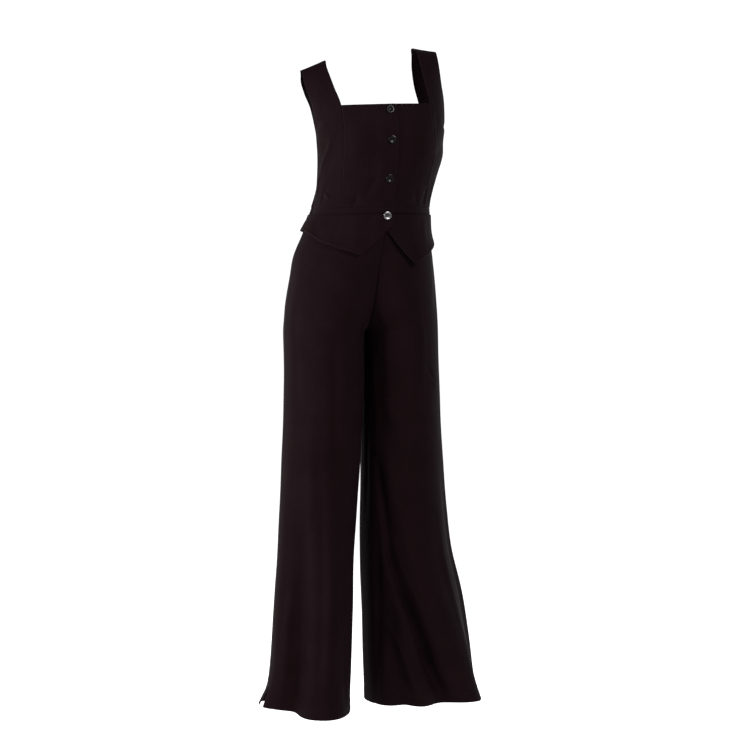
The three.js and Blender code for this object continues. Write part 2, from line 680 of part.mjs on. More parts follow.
jumpsuit.add(
  peplum('peplum_front_right', PEPLUM_RIGHT_HEM, [
    { angle: -peplumSide },
    { angle: -61, steps: 4 },
    { angle: -24, steps: 5 },
    { angle: -lap, steps: 3 },
    { angle: 0, steps: 1 },
    { angle: lap, steps: 1 },
  ], lapRise),
  peplum('peplum_front_left', PEPLUM_LEFT_HEM, [
    { angle: -lap },
    { angle: 0, steps: 1 },
    { angle: lap, steps: 1 },
    { angle: 33, steps: 4 },
    { angle: 59, steps: 4 },
    { angle: peplumSide, steps: 4 },
  ]),
  peplum('peplum_back', PEPLUM_BACK_HEM, [
    { angle: 180 - peplumSide },
    { angle: 180 + peplumSide, steps: 22 },
  ], backRise),
);

for (const leg of ['right', 'left']) {
  for (const face of ['front', 'back']) {
    jumpsuit.add(trouserPanel(`trouser_${face}_${leg}`, leg, face));
  }
}

BUTTON_ROWS.forEach((row, k) => jumpsuit.add(bodiceButton(`button_${k + 1}`, row)));
jumpsuit.add(waistButton('button_waist'));

export default jumpsuit;
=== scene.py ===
"""Looks of a jumpsuit with a waistcoat front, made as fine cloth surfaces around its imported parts.

The garment hangs +Z up with its front to -Y and the wearer's left to +X. The tables and sizes
are in millimetres, as a maker writes them, and MM turns them into metres.
"""

import json
import math

import bpy
import numpy as np
from bpy.props import FloatProperty, FloatVectorProperty, PointerProperty
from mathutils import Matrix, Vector

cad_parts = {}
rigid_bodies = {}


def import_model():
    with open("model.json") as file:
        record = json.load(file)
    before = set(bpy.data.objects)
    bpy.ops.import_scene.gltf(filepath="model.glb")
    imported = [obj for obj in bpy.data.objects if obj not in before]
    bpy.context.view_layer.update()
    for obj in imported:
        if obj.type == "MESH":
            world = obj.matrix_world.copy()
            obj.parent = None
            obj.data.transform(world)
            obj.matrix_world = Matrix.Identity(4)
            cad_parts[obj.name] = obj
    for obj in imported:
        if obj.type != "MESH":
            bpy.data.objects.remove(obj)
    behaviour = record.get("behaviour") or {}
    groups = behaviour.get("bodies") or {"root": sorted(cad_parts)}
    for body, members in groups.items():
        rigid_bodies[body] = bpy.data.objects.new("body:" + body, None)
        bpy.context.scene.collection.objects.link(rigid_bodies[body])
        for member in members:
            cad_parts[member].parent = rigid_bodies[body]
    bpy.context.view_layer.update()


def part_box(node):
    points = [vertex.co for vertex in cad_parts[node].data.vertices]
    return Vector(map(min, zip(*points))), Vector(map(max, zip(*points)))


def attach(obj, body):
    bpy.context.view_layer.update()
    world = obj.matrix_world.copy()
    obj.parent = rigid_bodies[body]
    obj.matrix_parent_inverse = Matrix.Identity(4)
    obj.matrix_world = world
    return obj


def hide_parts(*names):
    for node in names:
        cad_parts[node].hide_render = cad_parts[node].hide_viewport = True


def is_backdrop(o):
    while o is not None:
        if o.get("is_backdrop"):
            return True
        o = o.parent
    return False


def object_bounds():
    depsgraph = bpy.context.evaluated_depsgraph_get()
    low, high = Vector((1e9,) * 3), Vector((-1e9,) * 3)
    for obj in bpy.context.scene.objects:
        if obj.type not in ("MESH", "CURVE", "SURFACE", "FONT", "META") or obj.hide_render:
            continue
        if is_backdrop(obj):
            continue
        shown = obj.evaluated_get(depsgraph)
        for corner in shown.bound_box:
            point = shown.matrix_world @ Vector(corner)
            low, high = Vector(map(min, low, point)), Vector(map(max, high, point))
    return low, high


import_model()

bl_info = {
    "name": "Waistcoat Jumpsuit",
    "version": (1, 0, 0),
    "blender": (4, 5, 0),
    "location": "3D View > Sidebar > Jumpsuit",
    "description": "Makes the cloth, stitching, buttons and studio of a wide-legged jumpsuit",
    "category": "Object",
}

MM = 0.001

# ---------------------------------------------------------------- driving sizes, in millimetres
SEAM_GAP = 0.4  # between neighbouring parts in the frame
SEAM_TOUCH = -0.3  # each sewn edge runs this far past the seam line, in its groove
LAP_RISE = 2.15
LAP_REACH = 14
LAP_RAMP = 24
STRAP_MIDDLE = 126
PRINCESS_WAIST = 94
BACK_BAND_RISE = 6
BUST = {"aside": 72, "level": -188, "rise": 9, "across": 46, "along": 52}
BUTTON_ROWS = (5.25, 7.1, 9.2)
HEM_LIFT = {"right": 11, "left": -7}
HEM_LIFT_SHARE = 0.35
VENT = {"top": -1358, "open": 11, "round": 100}
CROTCH = -592
HEM = -1416
TORSO_ROUND = 115  # millimetres of cloth for each radian round the torso
LEG_ROUND = 92  # and round a leg
SEAM_ANGLE = SEAM_TOUCH / TORSO_ROUND

NECK_ROW, UNDERARM_ROW, WAIST_ROW, BAND_ROW = 5, 6, 11, 12
BAND_DEPTH = 14
BODICE_FOOT = WAIST_ROW - SEAM_TOUCH / BAND_DEPTH

# Distances from an edge, in millimetres, at which the cloth grid has its close-set lines.
CLOSE_LINES = (0, 0.35, 0.8, 1.4, 2.2, 3.2, 4.6, 6.2, 7.4, 8.2, 9, 9.8, 10.8, 12.2)

SEAM = {"sink": 1.0, "width": 1.5, "turning": 9, "raise": 0.3}
TURNED = {"radius": 1.1, "raise": 0.35, "groove": 0.32, "groove_width": 0.9}
NECK_STITCH = 9
HEM_DEPTH = 24
HEM_STITCH = 22
VENT_STITCH = 8.2
STITCH = {"length": 2.5, "pitch": 3.4, "radius": 0.24, "sink": 0.02}
BUTTONHOLE = {"half": 8.2, "aside": -3.4, "lip": 0.95, "below": -0.32, "stitches": 68, "bite": 1.5,
              "radius": 0.26}
THREAD = {"strands": 4, "apart": 0.33, "radius": 0.2, "stations": 13, "sides": 8}
BUTTON = {"rim": 1.9, "dish": 1.15, "bowl": 0.9, "lip": 1.3, "hole": 1.0, "pitch": 2.35,
          "round": 0.7, "sides": 144}
BUTTON_TURNS = (0.12, -0.3, 0.2, 0.26)  # how each button happens to be turned, in radians
NOT_STITCHED = -10  # a distance that no cloth has, for a turned edge without a row of stitches
PEPLUM_TURNING = 6  # how far the doubled cloth reaches in from the peplum's edges
FRAME_REACH = 6  # a piece may stand this far outside its part

# The width or length over which each piece's grid is spaced.
SPREAD = {"side": 70, "neck": 110, "strap": 60, "band": 200, "back_band": 370, "peplum": 60,
          "leg": 290}
CREASING = {"bodice": 1.7, "back": 1.6, "leg": 1.5, "peplum": 1.4}
UNEVEN = {"torso": 0.55, "back": 0.4, "band": 0.2, "leg": 1.1}
STRAP_CALM = (1, 3)  # torso rows between which the unevenness fades in, below the shoulder
WORN = {"edge": 1.6, "seam": 2.5}  # how wide the cloth is rubbed along folded edges and seams

# Studio lights. Each row has its place, in metres from the origin toward the camera, to the
# camera's right and up, how far above the garment's middle it aims, its width and height in
# metres, and its power in watts.
LIGHTS = {
    "key": (1.9, 1.5, 1.0, 0.25, 0.8, 1.0, 55),
    "fill": (1.0, -1.9, -0.1, 0.3, 0.8, 0.9, 64),
    "edge_right": (-1.5, 2.0, -0.4, 0, 0.9, 2.4, 16),
    "edge_left": (-1.5, -2.0, -0.4, 0, 0.9, 2.4, 16),
}
FLOOR_RINGS = (0.4, 1, 2, 4, 8, 16, 34)  # metres
FLOOR_SIDES = 48
GLOW = {"start": -0.5, "full": -0.02}  # metres beyond the origin between which the floor glows up


def table(columns, rows):
    """A short table as one array for each named column."""
    return dict(zip(columns.split(), np.array(rows, float).T))


# Rings of the torso from the shoulder line to the foot of the waistband. half: half width.
# front, back: depth. shift: centre to the side. tilt, slope, turn: degrees of lean, of the
# shoulder's fall and about the vertical.
TORSO = table("row level half front back shift tilt slope turn", [
    (0, 0, 190, 0, 0, 0, 9, 15, 0),
    (1, -3, 184, 17, 15, 0, 8.9, 15, 0),
    (2, -13, 176, 35, 29, 0, 8.4, 14, -1),
    (3, -34, 168, 54, 44, 2, 7, 11, -1),
    (4, -66, 158, 75, 61, 9, 4.6, 6, -2),
    (5, -104, 149, 95, 76, 20, 1.9, 0, -4),
    (6, -150, 143, 104, 86, 26, 1.2, 0, -5),
    (7, -177, 140, 106, 87, 26, 0.6, 0, -5),
    (8, -215, 137, 107, 88, 25, 0, 0, -5),
    (9, -255, 132, 106, 89, 19, 0, 0, -4),
    (10, -290, 129, 106, 91, 13, 0, 0, -2),
    (11, -324, 129, 106, 94, 7, 0, 0, 0),
    (12, -338, 132, 106, 95, 5, 0, 0, 0),
])
SHOULDER_ROW = 1.1 / TORSO["front"][1]

# Shoulder straps. front, back: centre line to the inner edge. frontArm, backArm: direction of
# the armhole edge from the middle of the front or the back.
STRAP = table("row front back frontArm backArm", [
    (0, 98, 98, 54.7, 54.7),
    (1, 101, 102, 56.5, 55.5),
    (2, 103, 106, 60, 57.5),
    (3, 102.5, 108, 66, 62),
    (4, 101, 109, 73, 68),
    (5, 98, 110, 82, 78),
    (6, 98, 110, 90, 90),
])

# Sections of the trouser legs. shift: the plane between the legs. reach: from it to the leg's
# centre. outer, inner: half widths. front, back: depths. set: how far the leg stands back.
LEG_COLUMNS = "level shift reach outer inner front back set"
LEGS = {
    "right": table(LEG_COLUMNS, [
        (-338, 5, 0, 134, 131, 106, 95, 0),
        (-380, 1, 18, 130, 122, 106, 102, 0),
        (-428, -6, 34, 127, 117, 105, 111, 0),
        (-470, -10, 47, 117, 113, 103, 117, 0),
        (-529, -15, 62, 107, 104, 100, 118, 0),
        (-565, -15, 75, 97, 91, 98, 115, 0),
        (CROTCH, -15, 86, 88, 85.7, 96, 111, 0),
        (-703, -13, 90, 87, 88, 92, 100, -2),
        (-875, -15, 96, 86, 86, 91, 94, -4),
        (-1070, -24, 99, 83, 82, 98, 96, -4),
        (-1210, -20, 111, 85, 84, 106, 100, -3),
        (VENT["top"], -16, 126, 87, 89, 115, 104, -2),
        (HEM, -15, 129, 111, 91, 120, 107, -2),
    ]),
    "left": table(LEG_COLUMNS, [
        (-338, 5, 0, 131, 131, 106, 95, 0),
        (-380, 1, 18, 116, 122, 106, 102, 0),
        (-428, -6, 34, 114, 117, 105, 111, 0),
        (-470, -10, 47, 110, 113, 103, 117, 0),
        (-529, -15, 62, 105, 104, 100, 118, 0),
        (-565, -15, 75, 94, 91, 98, 115, 0),
        (CROTCH, -15, 86, 84, 85.7, 96, 111, 0),
        (-703, -13, 90, 84.5, 88, 92, 100, 4),
        (-875, -15, 91, 97, 87, 92, 96, 9),
        (-1070, -24, 112, 105, 101, 93, 96, 12),
        (-1210, -20, 122, 123, 110, 96, 97, 13),
        (VENT["top"], -16, 128, 135, 116, 100, 98, 14),
        (HEM, -15, 129, 144, 116, 102, 99, 14),
    ]),
}

# Long folds of the legs. start, end: share of the way from the outer to the inner seam at the
# top and foot. thin, thick: depth at the top and foot, a ridge where it is negative.
FOLD_COLUMNS = "top foot start end width thin thick"
FOLDS = {
    ("left", "front"): table(FOLD_COLUMNS, [
        (-850, -1400, 0.8, 0.42, 0.075, 5, 22),
        (-740, -960, 0.76, 0.55, 0.06, 4, 5),
        (-1130, HEM, 0.76, 0.67, 0.07, 4, 20),
        (-1050, HEM, 0.5, 0.24, 0.11, -4, -22),
    ]),
    ("right", "front"): table(FOLD_COLUMNS, [
        (-830, HEM, 0.24, 0.25, 0.14, 3, 50),
        (-900, HEM, 0.6, 0.6, 0.15, -2, -9),
    ]),
    ("right", "back"): table(FOLD_COLUMNS, [
        (-900, HEM, 0.35, 0.3, 0.11, 4, 20),
        (-760, HEM, 0.72, 0.66, 0.1, 3, 15),
    ]),
    ("left", "back"): table(FOLD_COLUMNS, [
        (-880, HEM, 0.3, 0.36, 0.1, 4, 18),
        (-780, HEM, 0.68, 0.74, 0.09, 3, 16),
    ]),
}

PEPLUM_STAND = table("level stand", [(-338, 3), (-380, 6), (-424, 12), (-446, 16)])
SIDE_SPRING = {"out": 3, "turn": 0.35}
# Lower edge of the peplum: direction from the centre front in degrees, and level.
PEPLUM_HEMS = {
    "front_right": table("angle level", [
        (-90, -371), (-74, -381), (-61, -396), (-24, -424), (1, -372), (8, -356),
    ]),
    "front_left": table("angle level", [
        (-8, -356), (1, -372), (33, -443), (59, -414), (76, -397), (90, -395),
    ]),
    "back": table("angle level", [
        (90, -395), (125, -390), (180, -384), (235, -378), (270, -371),
    ]),
}

# Soft creases, each from one place to another on the cloth: round: millimetres of cloth from
# the centre front, or from a leg's outer seam, and level. deep is negative for a ridge, and
# bow is how far the crease swings aside in its middle.
CREASE_COLUMNS = "round level round_end level_end width deep bow"
BODICE_CREASES = table(CREASE_COLUMNS, [
    (-180, -148, -116, -127, 5, 1.7, 3),
    (-172, -166, -122, -146, 9, -1.1, 2),
    (-114, -172, -163, -252, 5.5, -1.9, -4),
    (-104, -186, -146, -262, 7, 1.2, -5),
    (-163, -250, -178, -300, 4.5, -1.5, 1),
    (-144, -291, -118, -308, 4.5, -1.6, 1),
    (-130, -270, -150, -318, 5, 1.3, 2),
    (-20, -258, -44, -306, 8, 1.5, 3),
    (-58, -296, -70, -322, 5, 1.2, 0),
    (-96, -306, -64, -313, 4, -1.3, -2),
    (-40, -308, 12, -321, 3.2, 1.2, -3),
    (28, -321, 60, -314, 3.4, 1.2, 2),
    (66, -321, 56, -280, 6, 0.9, 2),
    (86, -322, 100, -276, 6, 1.1, -2),
    (118, -322, 128, -262, 6, -1.2, 2),
    (142, -320, 156, -274, 5, 1.3, 2),
    (176, -150, 122, -134, 6, 1.3, -3),
    (96, -206, 158, -172, 13, 1.1, 4),
    (-92, -210, -156, -180, 13, 0.8, -4),
    (104, -120, 92, -168, 9, 0.7, 2),
    (-50, -112, -44, -160, 12, 0.6, 2),
    (50, -118, 46, -168, 12, 0.6, -2),
    (164, -190, 178, -250, 6, -0.9, 2),
])
BACK_CREASES = table(CREASE_COLUMNS, [
    (-150, -160, -120, -215, 8, 1.4, 4),
    (150, -165, 124, -232, 9, 1.5, -3),
    (-112, -200, -70, -300, 9, -1.5, -6),
    (106, -214, 64, -304, 8, -1.4, 5),
    (-60, -232, -52, -318, 7, 1.3, 3),
    (40, -246, 34, -320, 8, 1.2, -2),
    (0, -180, 6, -300, 12, 0.8, 4),
    (-20, -284, -24, -322, 5, 1.1, 0),
    (84, -286, 92, -322, 5, 1.2, 1),
    (-96, -290, -104, -322, 5, 1.0, 1),
    (128, -292, 140, -322, 5, 1.3, 1),
])
LEG_CREASES = {
    ("left", "front"): table(CREASE_COLUMNS, [
        (140, -500, 155, -760, 8, -1.3, 3),
        (116, -520, 130, -780, 8, -1.2, -2),
        (128, -540, 142, -700, 6, 0.8, 0),
        (112, -670, 82, -704, 4.5, 1.7, 2),
        (96, -690, 74, -716, 5, -1.1, 1),
        (236, -590, 172, -584, 4, 0.9, 2),
        (262, -620, 266, -1010, 6, 1.7, -4),
        (248, -640, 236, -900, 8, -1.5, 3),
        (196, -620, 186, -830, 10, 1.1, 4),
        (236, -860, 204, -1100, 8, 5, 3),
        (209, -1050, 168, -1210, 9, 10, -3),
        (180, -1170, 138, -1335, 10, 12, 3),
        (150, -1290, 112, -1400, 9, 9, -3),
        (192, -1080, 122, -1290, 9, -3, 4),
        (222, -1230, 150, -1410, 11, -5, 6),
        (196, -1330, 170, -1410, 7, 4, 2),
        (60, -900, 48, -1400, 13, 3, 8),
        (86, -1010, 66, -1410, 9, -2.2, -4),
        (30, -1060, 22, -1400, 9, -1.8, 3),
        (230, -1000, 252, -1410, 9, 3.2, 4),
        (40, -430, 60, -560, 12, 1.2, 3),
        (168, -470, 176, -600, 9, 0.9, 2),
    ]),
    ("right", "front"): table(CREASE_COLUMNS, [
        (160, -560, 192, -930, 13, -2.4, 5),
        (138, -600, 158, -980, 10, 1.5, 4),
        (210, -640, 220, -1000, 9, 1.4, -4),
        (252, -600, 218, -700, 8, 2.0, 3),
        (262, -640, 244, -900, 7, 1.8, 3),
        (40, -480, 56, -760, 12, 1.1, 4),
        (92, -760, 104, -1180, 12, -2.0, 5),
        (118, -900, 132, -1400, 12, 2.6, -5),
        (152, -1080, 158, -1412, 10, -2.2, 3),
        (196, -1000, 206, -1412, 11, 3.4, 4),
        (232, -1100, 240, -1412, 9, -2.0, 2),
        (40, -1120, 30, -1400, 9, -3.2, 2),
        (180, -430, 150, -540, 10, 0.9, 2),
    ]),
    ("right", "back"): table(CREASE_COLUMNS, [
        (240, -622, 160, -640, 9, 2.4, 6),
        (246, -650, 186, -676, 8, 1.7, 5),
        (60, -520, 84, -760, 13, 1.4, 4),
        (130, -700, 138, -1100, 12, -2.2, 5),
        (170, -860, 160, -1400, 11, 2.8, -5),
        (60, -1000, 52, -1410, 10, -2.4, 3),
        (246, -900, 250, -1410, 9, 2.4, 3),
        (128, -1120, 120, -1412, 10, 2.6, 2),
    ]),
    ("left", "back"): table(CREASE_COLUMNS, [
        (238, -620, 156, -644, 9, 2.6, 6),
        (250, -646, 200, -668, 7, 1.6, 4),
        (52, -540, 88, -740, 13, 1.5, 4),
        (120, -720, 130, -1040, 12, -2.0, -5),
        (160, -900, 152, -1400, 11, 2.6, 5),
        (40, -980, 34, -1400, 10, -2.6, 3),
        (250, -940, 254, -1410, 9, 2.2, 3),
        (184, -1100, 190, -1412, 9, -2.2, 2),
    ]),
}
PEPLUM_CREASES = table(CREASE_COLUMNS, [
    (-150, -350, -128, -392, 7, 1.0, 2),
    (-70, -342, -58, -408, 10, -0.9, 3),
    (-96, -344, -100, -398, 9, 0.9, 2),
    (40, -344, 62, -424, 9, 0.9, 2),
    (104, -344, 96, -404, 10, -0.9, 2),
    (142, -346, 134, -394, 7, 0.9, -2),
])

# Gathers of the back elastic: folds in a radian, depth, and how far they run from the band.
GATHERS = {"count": 17, "deep": 1.5, "above": 70, "below": 46}
PUCKER = {"deep": 0.4, "wide": 8, "pitch": 8.5, "top": -372, "foot": -440, "fade": -392}


# ---------------------------------------------------------------- arithmetic on whole arrays
def smooth(value, low, high):
    """0 below low, 1 above high, and 3t^2 - 2t^3 between."""
    t = np.clip((value - low) / (high - low), 0, 1)
    return t * t * (3 - 2 * t)


def lerp(start, end, share):
    """start where share is 0, end where it is 1."""
    return start + (end - start) * share


def bell(value, width):
    """exp(-(value / width)^2): 1 at 0, small beyond twice the width."""
    return np.exp(-((value / width) ** 2))


def along(rows, key, name, place):
    """Cubic Hermite curve through a column; its slope at a row is that between its neighbours."""
    sign = 1 if rows[key][-1] > rows[key][0] else -1
    keys, values, place = sign * rows[key], rows[name], sign * np.asarray(place, float)
    last = len(keys) - 1
    before, after = np.maximum(np.arange(last + 1) - 1, 0), np.minimum(np.arange(last + 1) + 1, last)
    slopes = (values[after] - values[before]) / (keys[after] - keys[before])
    k = np.clip(np.searchsorted(keys, place, side="right") - 1, 0, last - 1)
    span = keys[k + 1] - keys[k]
    t = np.clip((place - keys[k]) / span, 0, 1)
    ends = values[k] * (1 + 2 * t) * (1 - t) ** 2 + values[k + 1] * t * t * (3 - 2 * t)
    return ends + span * t * (1 - t) * (slopes[k] * (1 - t) - slopes[k + 1] * t)


def stops(length, step, close=CLOSE_LINES):
    """Shares from 0 to 1 along a length: close-set near both ends, evenly spaced between."""
    near = np.array(close, float)
    inner = length - 2 * near[-1]
    middle = near[-1] + inner * np.linspace(0, 1, max(2, math.ceil(inner / step)) + 1)[1:-1]
    return np.concatenate([near, middle, length - near[::-1]]) / length


def normals(points):
    """Unit normals of a grid: the cross product of its two slopes, turned away from its middle."""
    cross = np.cross(np.gradient(points, axis=1), np.gradient(points, axis=0))
    cross /= np.maximum(np.linalg.norm(cross, axis=2, keepdims=True), 1e-9)
    away = points - points.reshape(-1, 3).mean(0)
    return cross * (1 if (cross * away).sum() > 0 else -1)


def distance(points, line):
    """Distance from each point of a grid to the nearest point of a line."""
    middle = line.mean(0)
    a, b = points.reshape(-1, 3) - middle, line - middle
    square = (a * a).sum(1)[:, None] + (b * b).sum(1) - 2 * a @ b.T
    return np.sqrt(np.maximum(square.min(1), 0)).reshape(points.shape[:-1])


# ---------------------------------------------------------------- how cloth is finished
def seam(gap):
    """Sinks by a bell at the seam, and is raised over the turnings that are pressed beside it."""
    turning = 1 - smooth(gap, SEAM["turning"] - 2, SEAM["turning"] + 2)
    return SEAM["raise"] * turning - (SEAM["sink"] + SEAM["raise"]) * bell(gap, SEAM["width"])


def turned(gap, depth, stitch):
    """A turned edge: raised by the doubled cloth, round at the fold, sunk along its stitching."""
    radius = TURNED["radius"]
    short = np.clip(1 - gap / radius, 0, 1)
    fold = radius * (1 - np.sqrt(1 - short * short))
    doubled = TURNED["raise"] * (1 - smooth(gap, depth - 1, depth + 2))
    return doubled - fold - TURNED["groove"] * bell(gap - stitch, TURNED["groove_width"])


def faced(gap):
    """The turned edge of a neckline or armhole, stitched at NECK_STITCH."""
    return turned(gap, NECK_STITCH + 2, NECK_STITCH)


def creases(around, level, rows, strength):
    """Sum of soft creases. Each is deep times a bell across it, fading in and out along it."""
    total = np.zeros(np.broadcast(around, level).shape)
    for k in range(len(rows["round"])):
        x, z, x_end, z_end, width, deep, bow = (rows[name][k] for name in CREASE_COLUMNS.split())
        run, fall = x_end - x, z_end - z
        length = math.hypot(run, fall)
        t = ((around - x) * run + (level - z) * fall) / length**2
        aside = ((around - x) * fall - (level - z) * run) / length - 4 * bow * t * (1 - t)
        fade = smooth(t, -0.12, 0.3) * (1 - smooth(t, 0.7, 1.12))
        total -= deep * fade * bell(aside, width)
    return total * strength


def ripple(around, level, deep):
    """Slow unevenness of hanging cloth: three crossed sine waves of unlike length."""
    one = np.sin(around / 31 + 1.3 * np.sin(level / 170))
    two = np.sin(around / 17 + level / 95 + 0.8)
    three = np.sin(level / 23 + 1.7 * np.sin(around / 44))
    return deep * (0.5 * one + 0.3 * two + 0.2 * three)


def gathers(angle, fall):
    """Folds drawn up by the elastic: waves round the back, uneven in size, fading along fall."""
    phase = GATHERS["count"] * (angle + 0.035 * np.sin(5.3 * angle) + 0.02 * np.sin(12.1 * angle + 1))
    size = 0.75 + 0.25 * np.sin(3.7 * angle + 0.6)
    wave = np.sin(2 * phase) * 0.5 + 0.5
    return GATHERS["deep"] * size * (wave**1.5 - 0.4) * fall


# ---------------------------------------------------------------- surfaces of the torso
def torso(name, row):
    return along(TORSO, "row", name, row)


def angle_aside(row, aside):
    """Direction on a ring of a point that lies a distance to the side: asin(aside / half)."""
    return np.arcsin(np.clip(aside / torso("half", row), -1, 1))


def bust(aside, level):
    """rise times a bell across and a bell along, on each side of the centre front."""
    across = bell(np.abs(aside) - BUST["aside"], BUST["across"])
    return BUST["rise"] * across * bell(level - BUST["level"], BUST["along"])


def torso_points(angle, row, rise):
    """Ellipse half by front or back, moved out by rise and bust, turned, shifted and tilted."""
    half, facing = torso("half", row), np.cos(angle) > 0
    depth = np.where(facing, torso("front", row), torso("back", row))
    aside, fore = half * np.sin(angle), -depth * np.cos(angle)
    out_x, out_y = np.sin(angle) * depth, -np.cos(angle) * half
    size = np.hypot(out_x, out_y)
    lift = rise(aside, row) + np.where(facing, bust(aside, torso("level", row)), 0)
    x, y = aside + lift * out_x / size, fore + lift * out_y / size
    turn, tilt, slope = (np.radians(torso(name, row)) for name in ("turn", "tilt", "slope"))
    height = torso("level", row) + aside * np.tan(tilt)
    height = height - (np.abs(aside) - STRAP_MIDDLE) * np.tan(slope)
    x, y = x * np.cos(turn) - y * np.sin(turn), x * np.sin(turn) + y * np.cos(turn)
    return np.stack([x + torso("shift", row), y, height], axis=-1)


def no_rise(aside, row):
    """A piece that lies over no other stays level."""
    return 0 * aside


def lap_rise(aside, row):
    """The lapping front climbs by the thickness of the front under it."""
    return LAP_RISE * smooth(aside, -LAP_REACH - LAP_RAMP, -LAP_REACH - 1)


def back_rise(aside, row):
    """The back blouses out over its elastic waistband, between the side seams."""
    blouse = smooth(row, WAIST_ROW - 1.5, WAIST_ROW)
    return BACK_BAND_RISE * blouse * smooth(torso("half", row) - np.abs(aside), 0, 4)


def princess(row):
    """Centre line to the strap's inner edge and, below it, to the princess seam."""
    edge = along(STRAP, "row", "front", np.minimum(row, NECK_ROW))
    return lerp(edge, PRINCESS_WAIST, np.clip((row - NECK_ROW) / (WAIST_ROW - NECK_ROW), 0, 1))


def armhole(row, face):
    """Direction of the armhole edge, which becomes the side seam below the arm."""
    return np.radians(along(STRAP, "row", face, np.minimum(row, UNDERARM_ROW)))


STRIDE = np.hypot(np.diff(TORSO["level"]), np.diff(TORSO["front"]))
RUN = np.concatenate([[0], np.cumsum(STRIDE)])  # cloth from the shoulder line down to each ring


def rows_between(first, last, step):
    """Torso rows at even lengths of cloth from one row to another, close-set near both."""
    start, end = np.interp([first, last], TORSO["row"], RUN)
    return np.interp(lerp(start, end, stops(end - start, step)), RUN, TORSO["row"])


# ---------------------------------------------------------------- surfaces of the lower half
def trouser_reach(angle, level):
    """Distance from the middle of the hips to the outside of the trousers in a direction.

    It is the far crossing of the ray with the leg's outer half ellipse, or its inner one.
    """
    right = np.sin(angle) < 0
    column = lambda name: np.where(
        right, along(LEGS["right"], "level", name, level), along(LEGS["left"], "level", name, level)
    )
    reach, sine, cosine = column("reach"), np.abs(np.sin(angle)), np.cos(angle)
    depth = np.where(cosine > 0, column("front"), column("back"))

    def crossing(half):
        a = (sine / half) ** 2 + (cosine / depth) ** 2
        b = sine * reach / half**2
        c = (reach / half) ** 2 - 1
        return (b + np.sqrt(np.maximum(b * b - a * c, 0))) / a

    wide = crossing(column("outer"))
    return np.where(wide * sine > reach, wide, crossing(column("inner")))


def peplum_points(angle, drop, hem, rise):
    """The outside of the trousers moved out by the stand, between the waistband and the hem."""
    top = PEPLUM_STAND["level"][0] - SEAM_TOUCH
    level = lerp(top, np.interp(np.degrees(angle), hem["angle"], hem["level"]), drop)
    sideways = np.maximum(0, -np.sin(angle + SIDE_SPRING["turn"])) ** 4
    spring = SIDE_SPRING["out"] * sideways * smooth(top - level, 2, 25)
    under = trouser_reach(angle, level) + along(PEPLUM_STAND, "level", "stand", level) + spring
    reach = under + rise(under * np.sin(angle), np.full_like(under, WAIST_ROW))
    shift = along(LEGS["right"], "level", "shift", level)
    return np.stack([shift + reach * np.sin(angle), -reach * np.cos(angle), level], axis=-1)


def fold_depth(leg, face, share, level):
    """Sum of long folds, each a bell round the leg that deepens downwards, none at the seams."""
    rows = FOLDS[leg, face]
    depth = np.zeros(np.broadcast(share, level).shape)
    for k in range(len(rows["top"])):
        top, foot, start, end, width, thin, thick = (rows[name][k] for name in FOLD_COLUMNS.split())
        t = (top - level) / (top - foot)
        grown = np.clip(t, 0, 1)
        middle = lerp(start, end, grown)
        fade = smooth(t, 0, 0.35) * (1 - smooth(t, 1, 1.25))
        depth += lerp(thin, thick, grown) * fade * bell(share - middle, width)
    return depth * smooth(share, 0, 0.1) * smooth(1 - share, 0, 0.1)


def inner_angle(leg, level):
    """Where a leg meets the plane between the legs, acos(-reach / inner), or its inseam."""
    reach = along(LEGS[leg], "level", "reach", level) - SEAM_TOUCH
    inner = along(LEGS[leg], "level", "inner", level)
    inseam = math.pi - SEAM_ANGLE
    crossing = np.arccos(np.clip(-reach / inner, -1, 1))
    return np.where(level < CROTCH, inseam, np.minimum(crossing, inseam))


def leg_points(leg, face, turn, level):
    """Half ellipses outer or inner by front or back, less the folds, about the leg's centre."""
    column = lambda name: along(LEGS[leg], "level", name, level)
    outside, forward = (-1 if leg == "right" else 1), (-1 if face == "front" else 1)
    half = np.where(np.cos(turn) > 0, column("outer"), column("inner"))
    inward = fold_depth(leg, face, turn / math.pi, level)
    x = column("shift") + outside * (column("reach") + (half - inward) * np.cos(turn))
    y = column("set") + forward * (column(face) - inward) * np.sin(turn)
    return np.stack([x, y, level + 0 * turn], axis=-1)


# ---------------------------------------------------------------- meshes
def add_object(name, vertices, faces, finish):
    """A mesh object at the origin, from points in millimetres and lists of face corners."""
    mesh = bpy.data.meshes.new(name)
    mesh.from_pydata((np.asarray(vertices) * MM).tolist(), [], faces)
    mesh.polygons.foreach_set("use_smooth", np.full(len(mesh.polygons), True))
    mesh.materials.append(finish)
    mesh.update()
    made = bpy.data.objects.new(name, mesh)
    bpy.context.scene.collection.objects.link(made)
    return made


def grid_faces(rows, columns, keep, clockwise):
    """Corner numbers of the kept four-sided cells of a grid."""
    at = np.arange(rows * columns).reshape(rows, columns)
    cells = np.stack([at[:-1, :-1], at[1:, :-1], at[1:, 1:], at[:-1, 1:]], axis=-1)
    cells = cells[keep] if keep is not None else cells.reshape(-1, 4)
    return cells[:, ::-1] if clockwise else cells


def cloth_coordinates(points):
    """Metres of cloth from the middle of each row, and from the top of each column."""
    across = np.linalg.norm(np.diff(points, axis=1), axis=2).cumsum(1)
    across = np.pad(across, ((0, 0), (1, 0)))
    across -= across[:, [points.shape[1] // 2]]
    down = np.linalg.norm(np.diff(points, axis=0), axis=2).cumsum(0)
    down = np.pad(down, ((1, 0), (0, 0)))
    return np.stack([across, -down], axis=-1) * MM


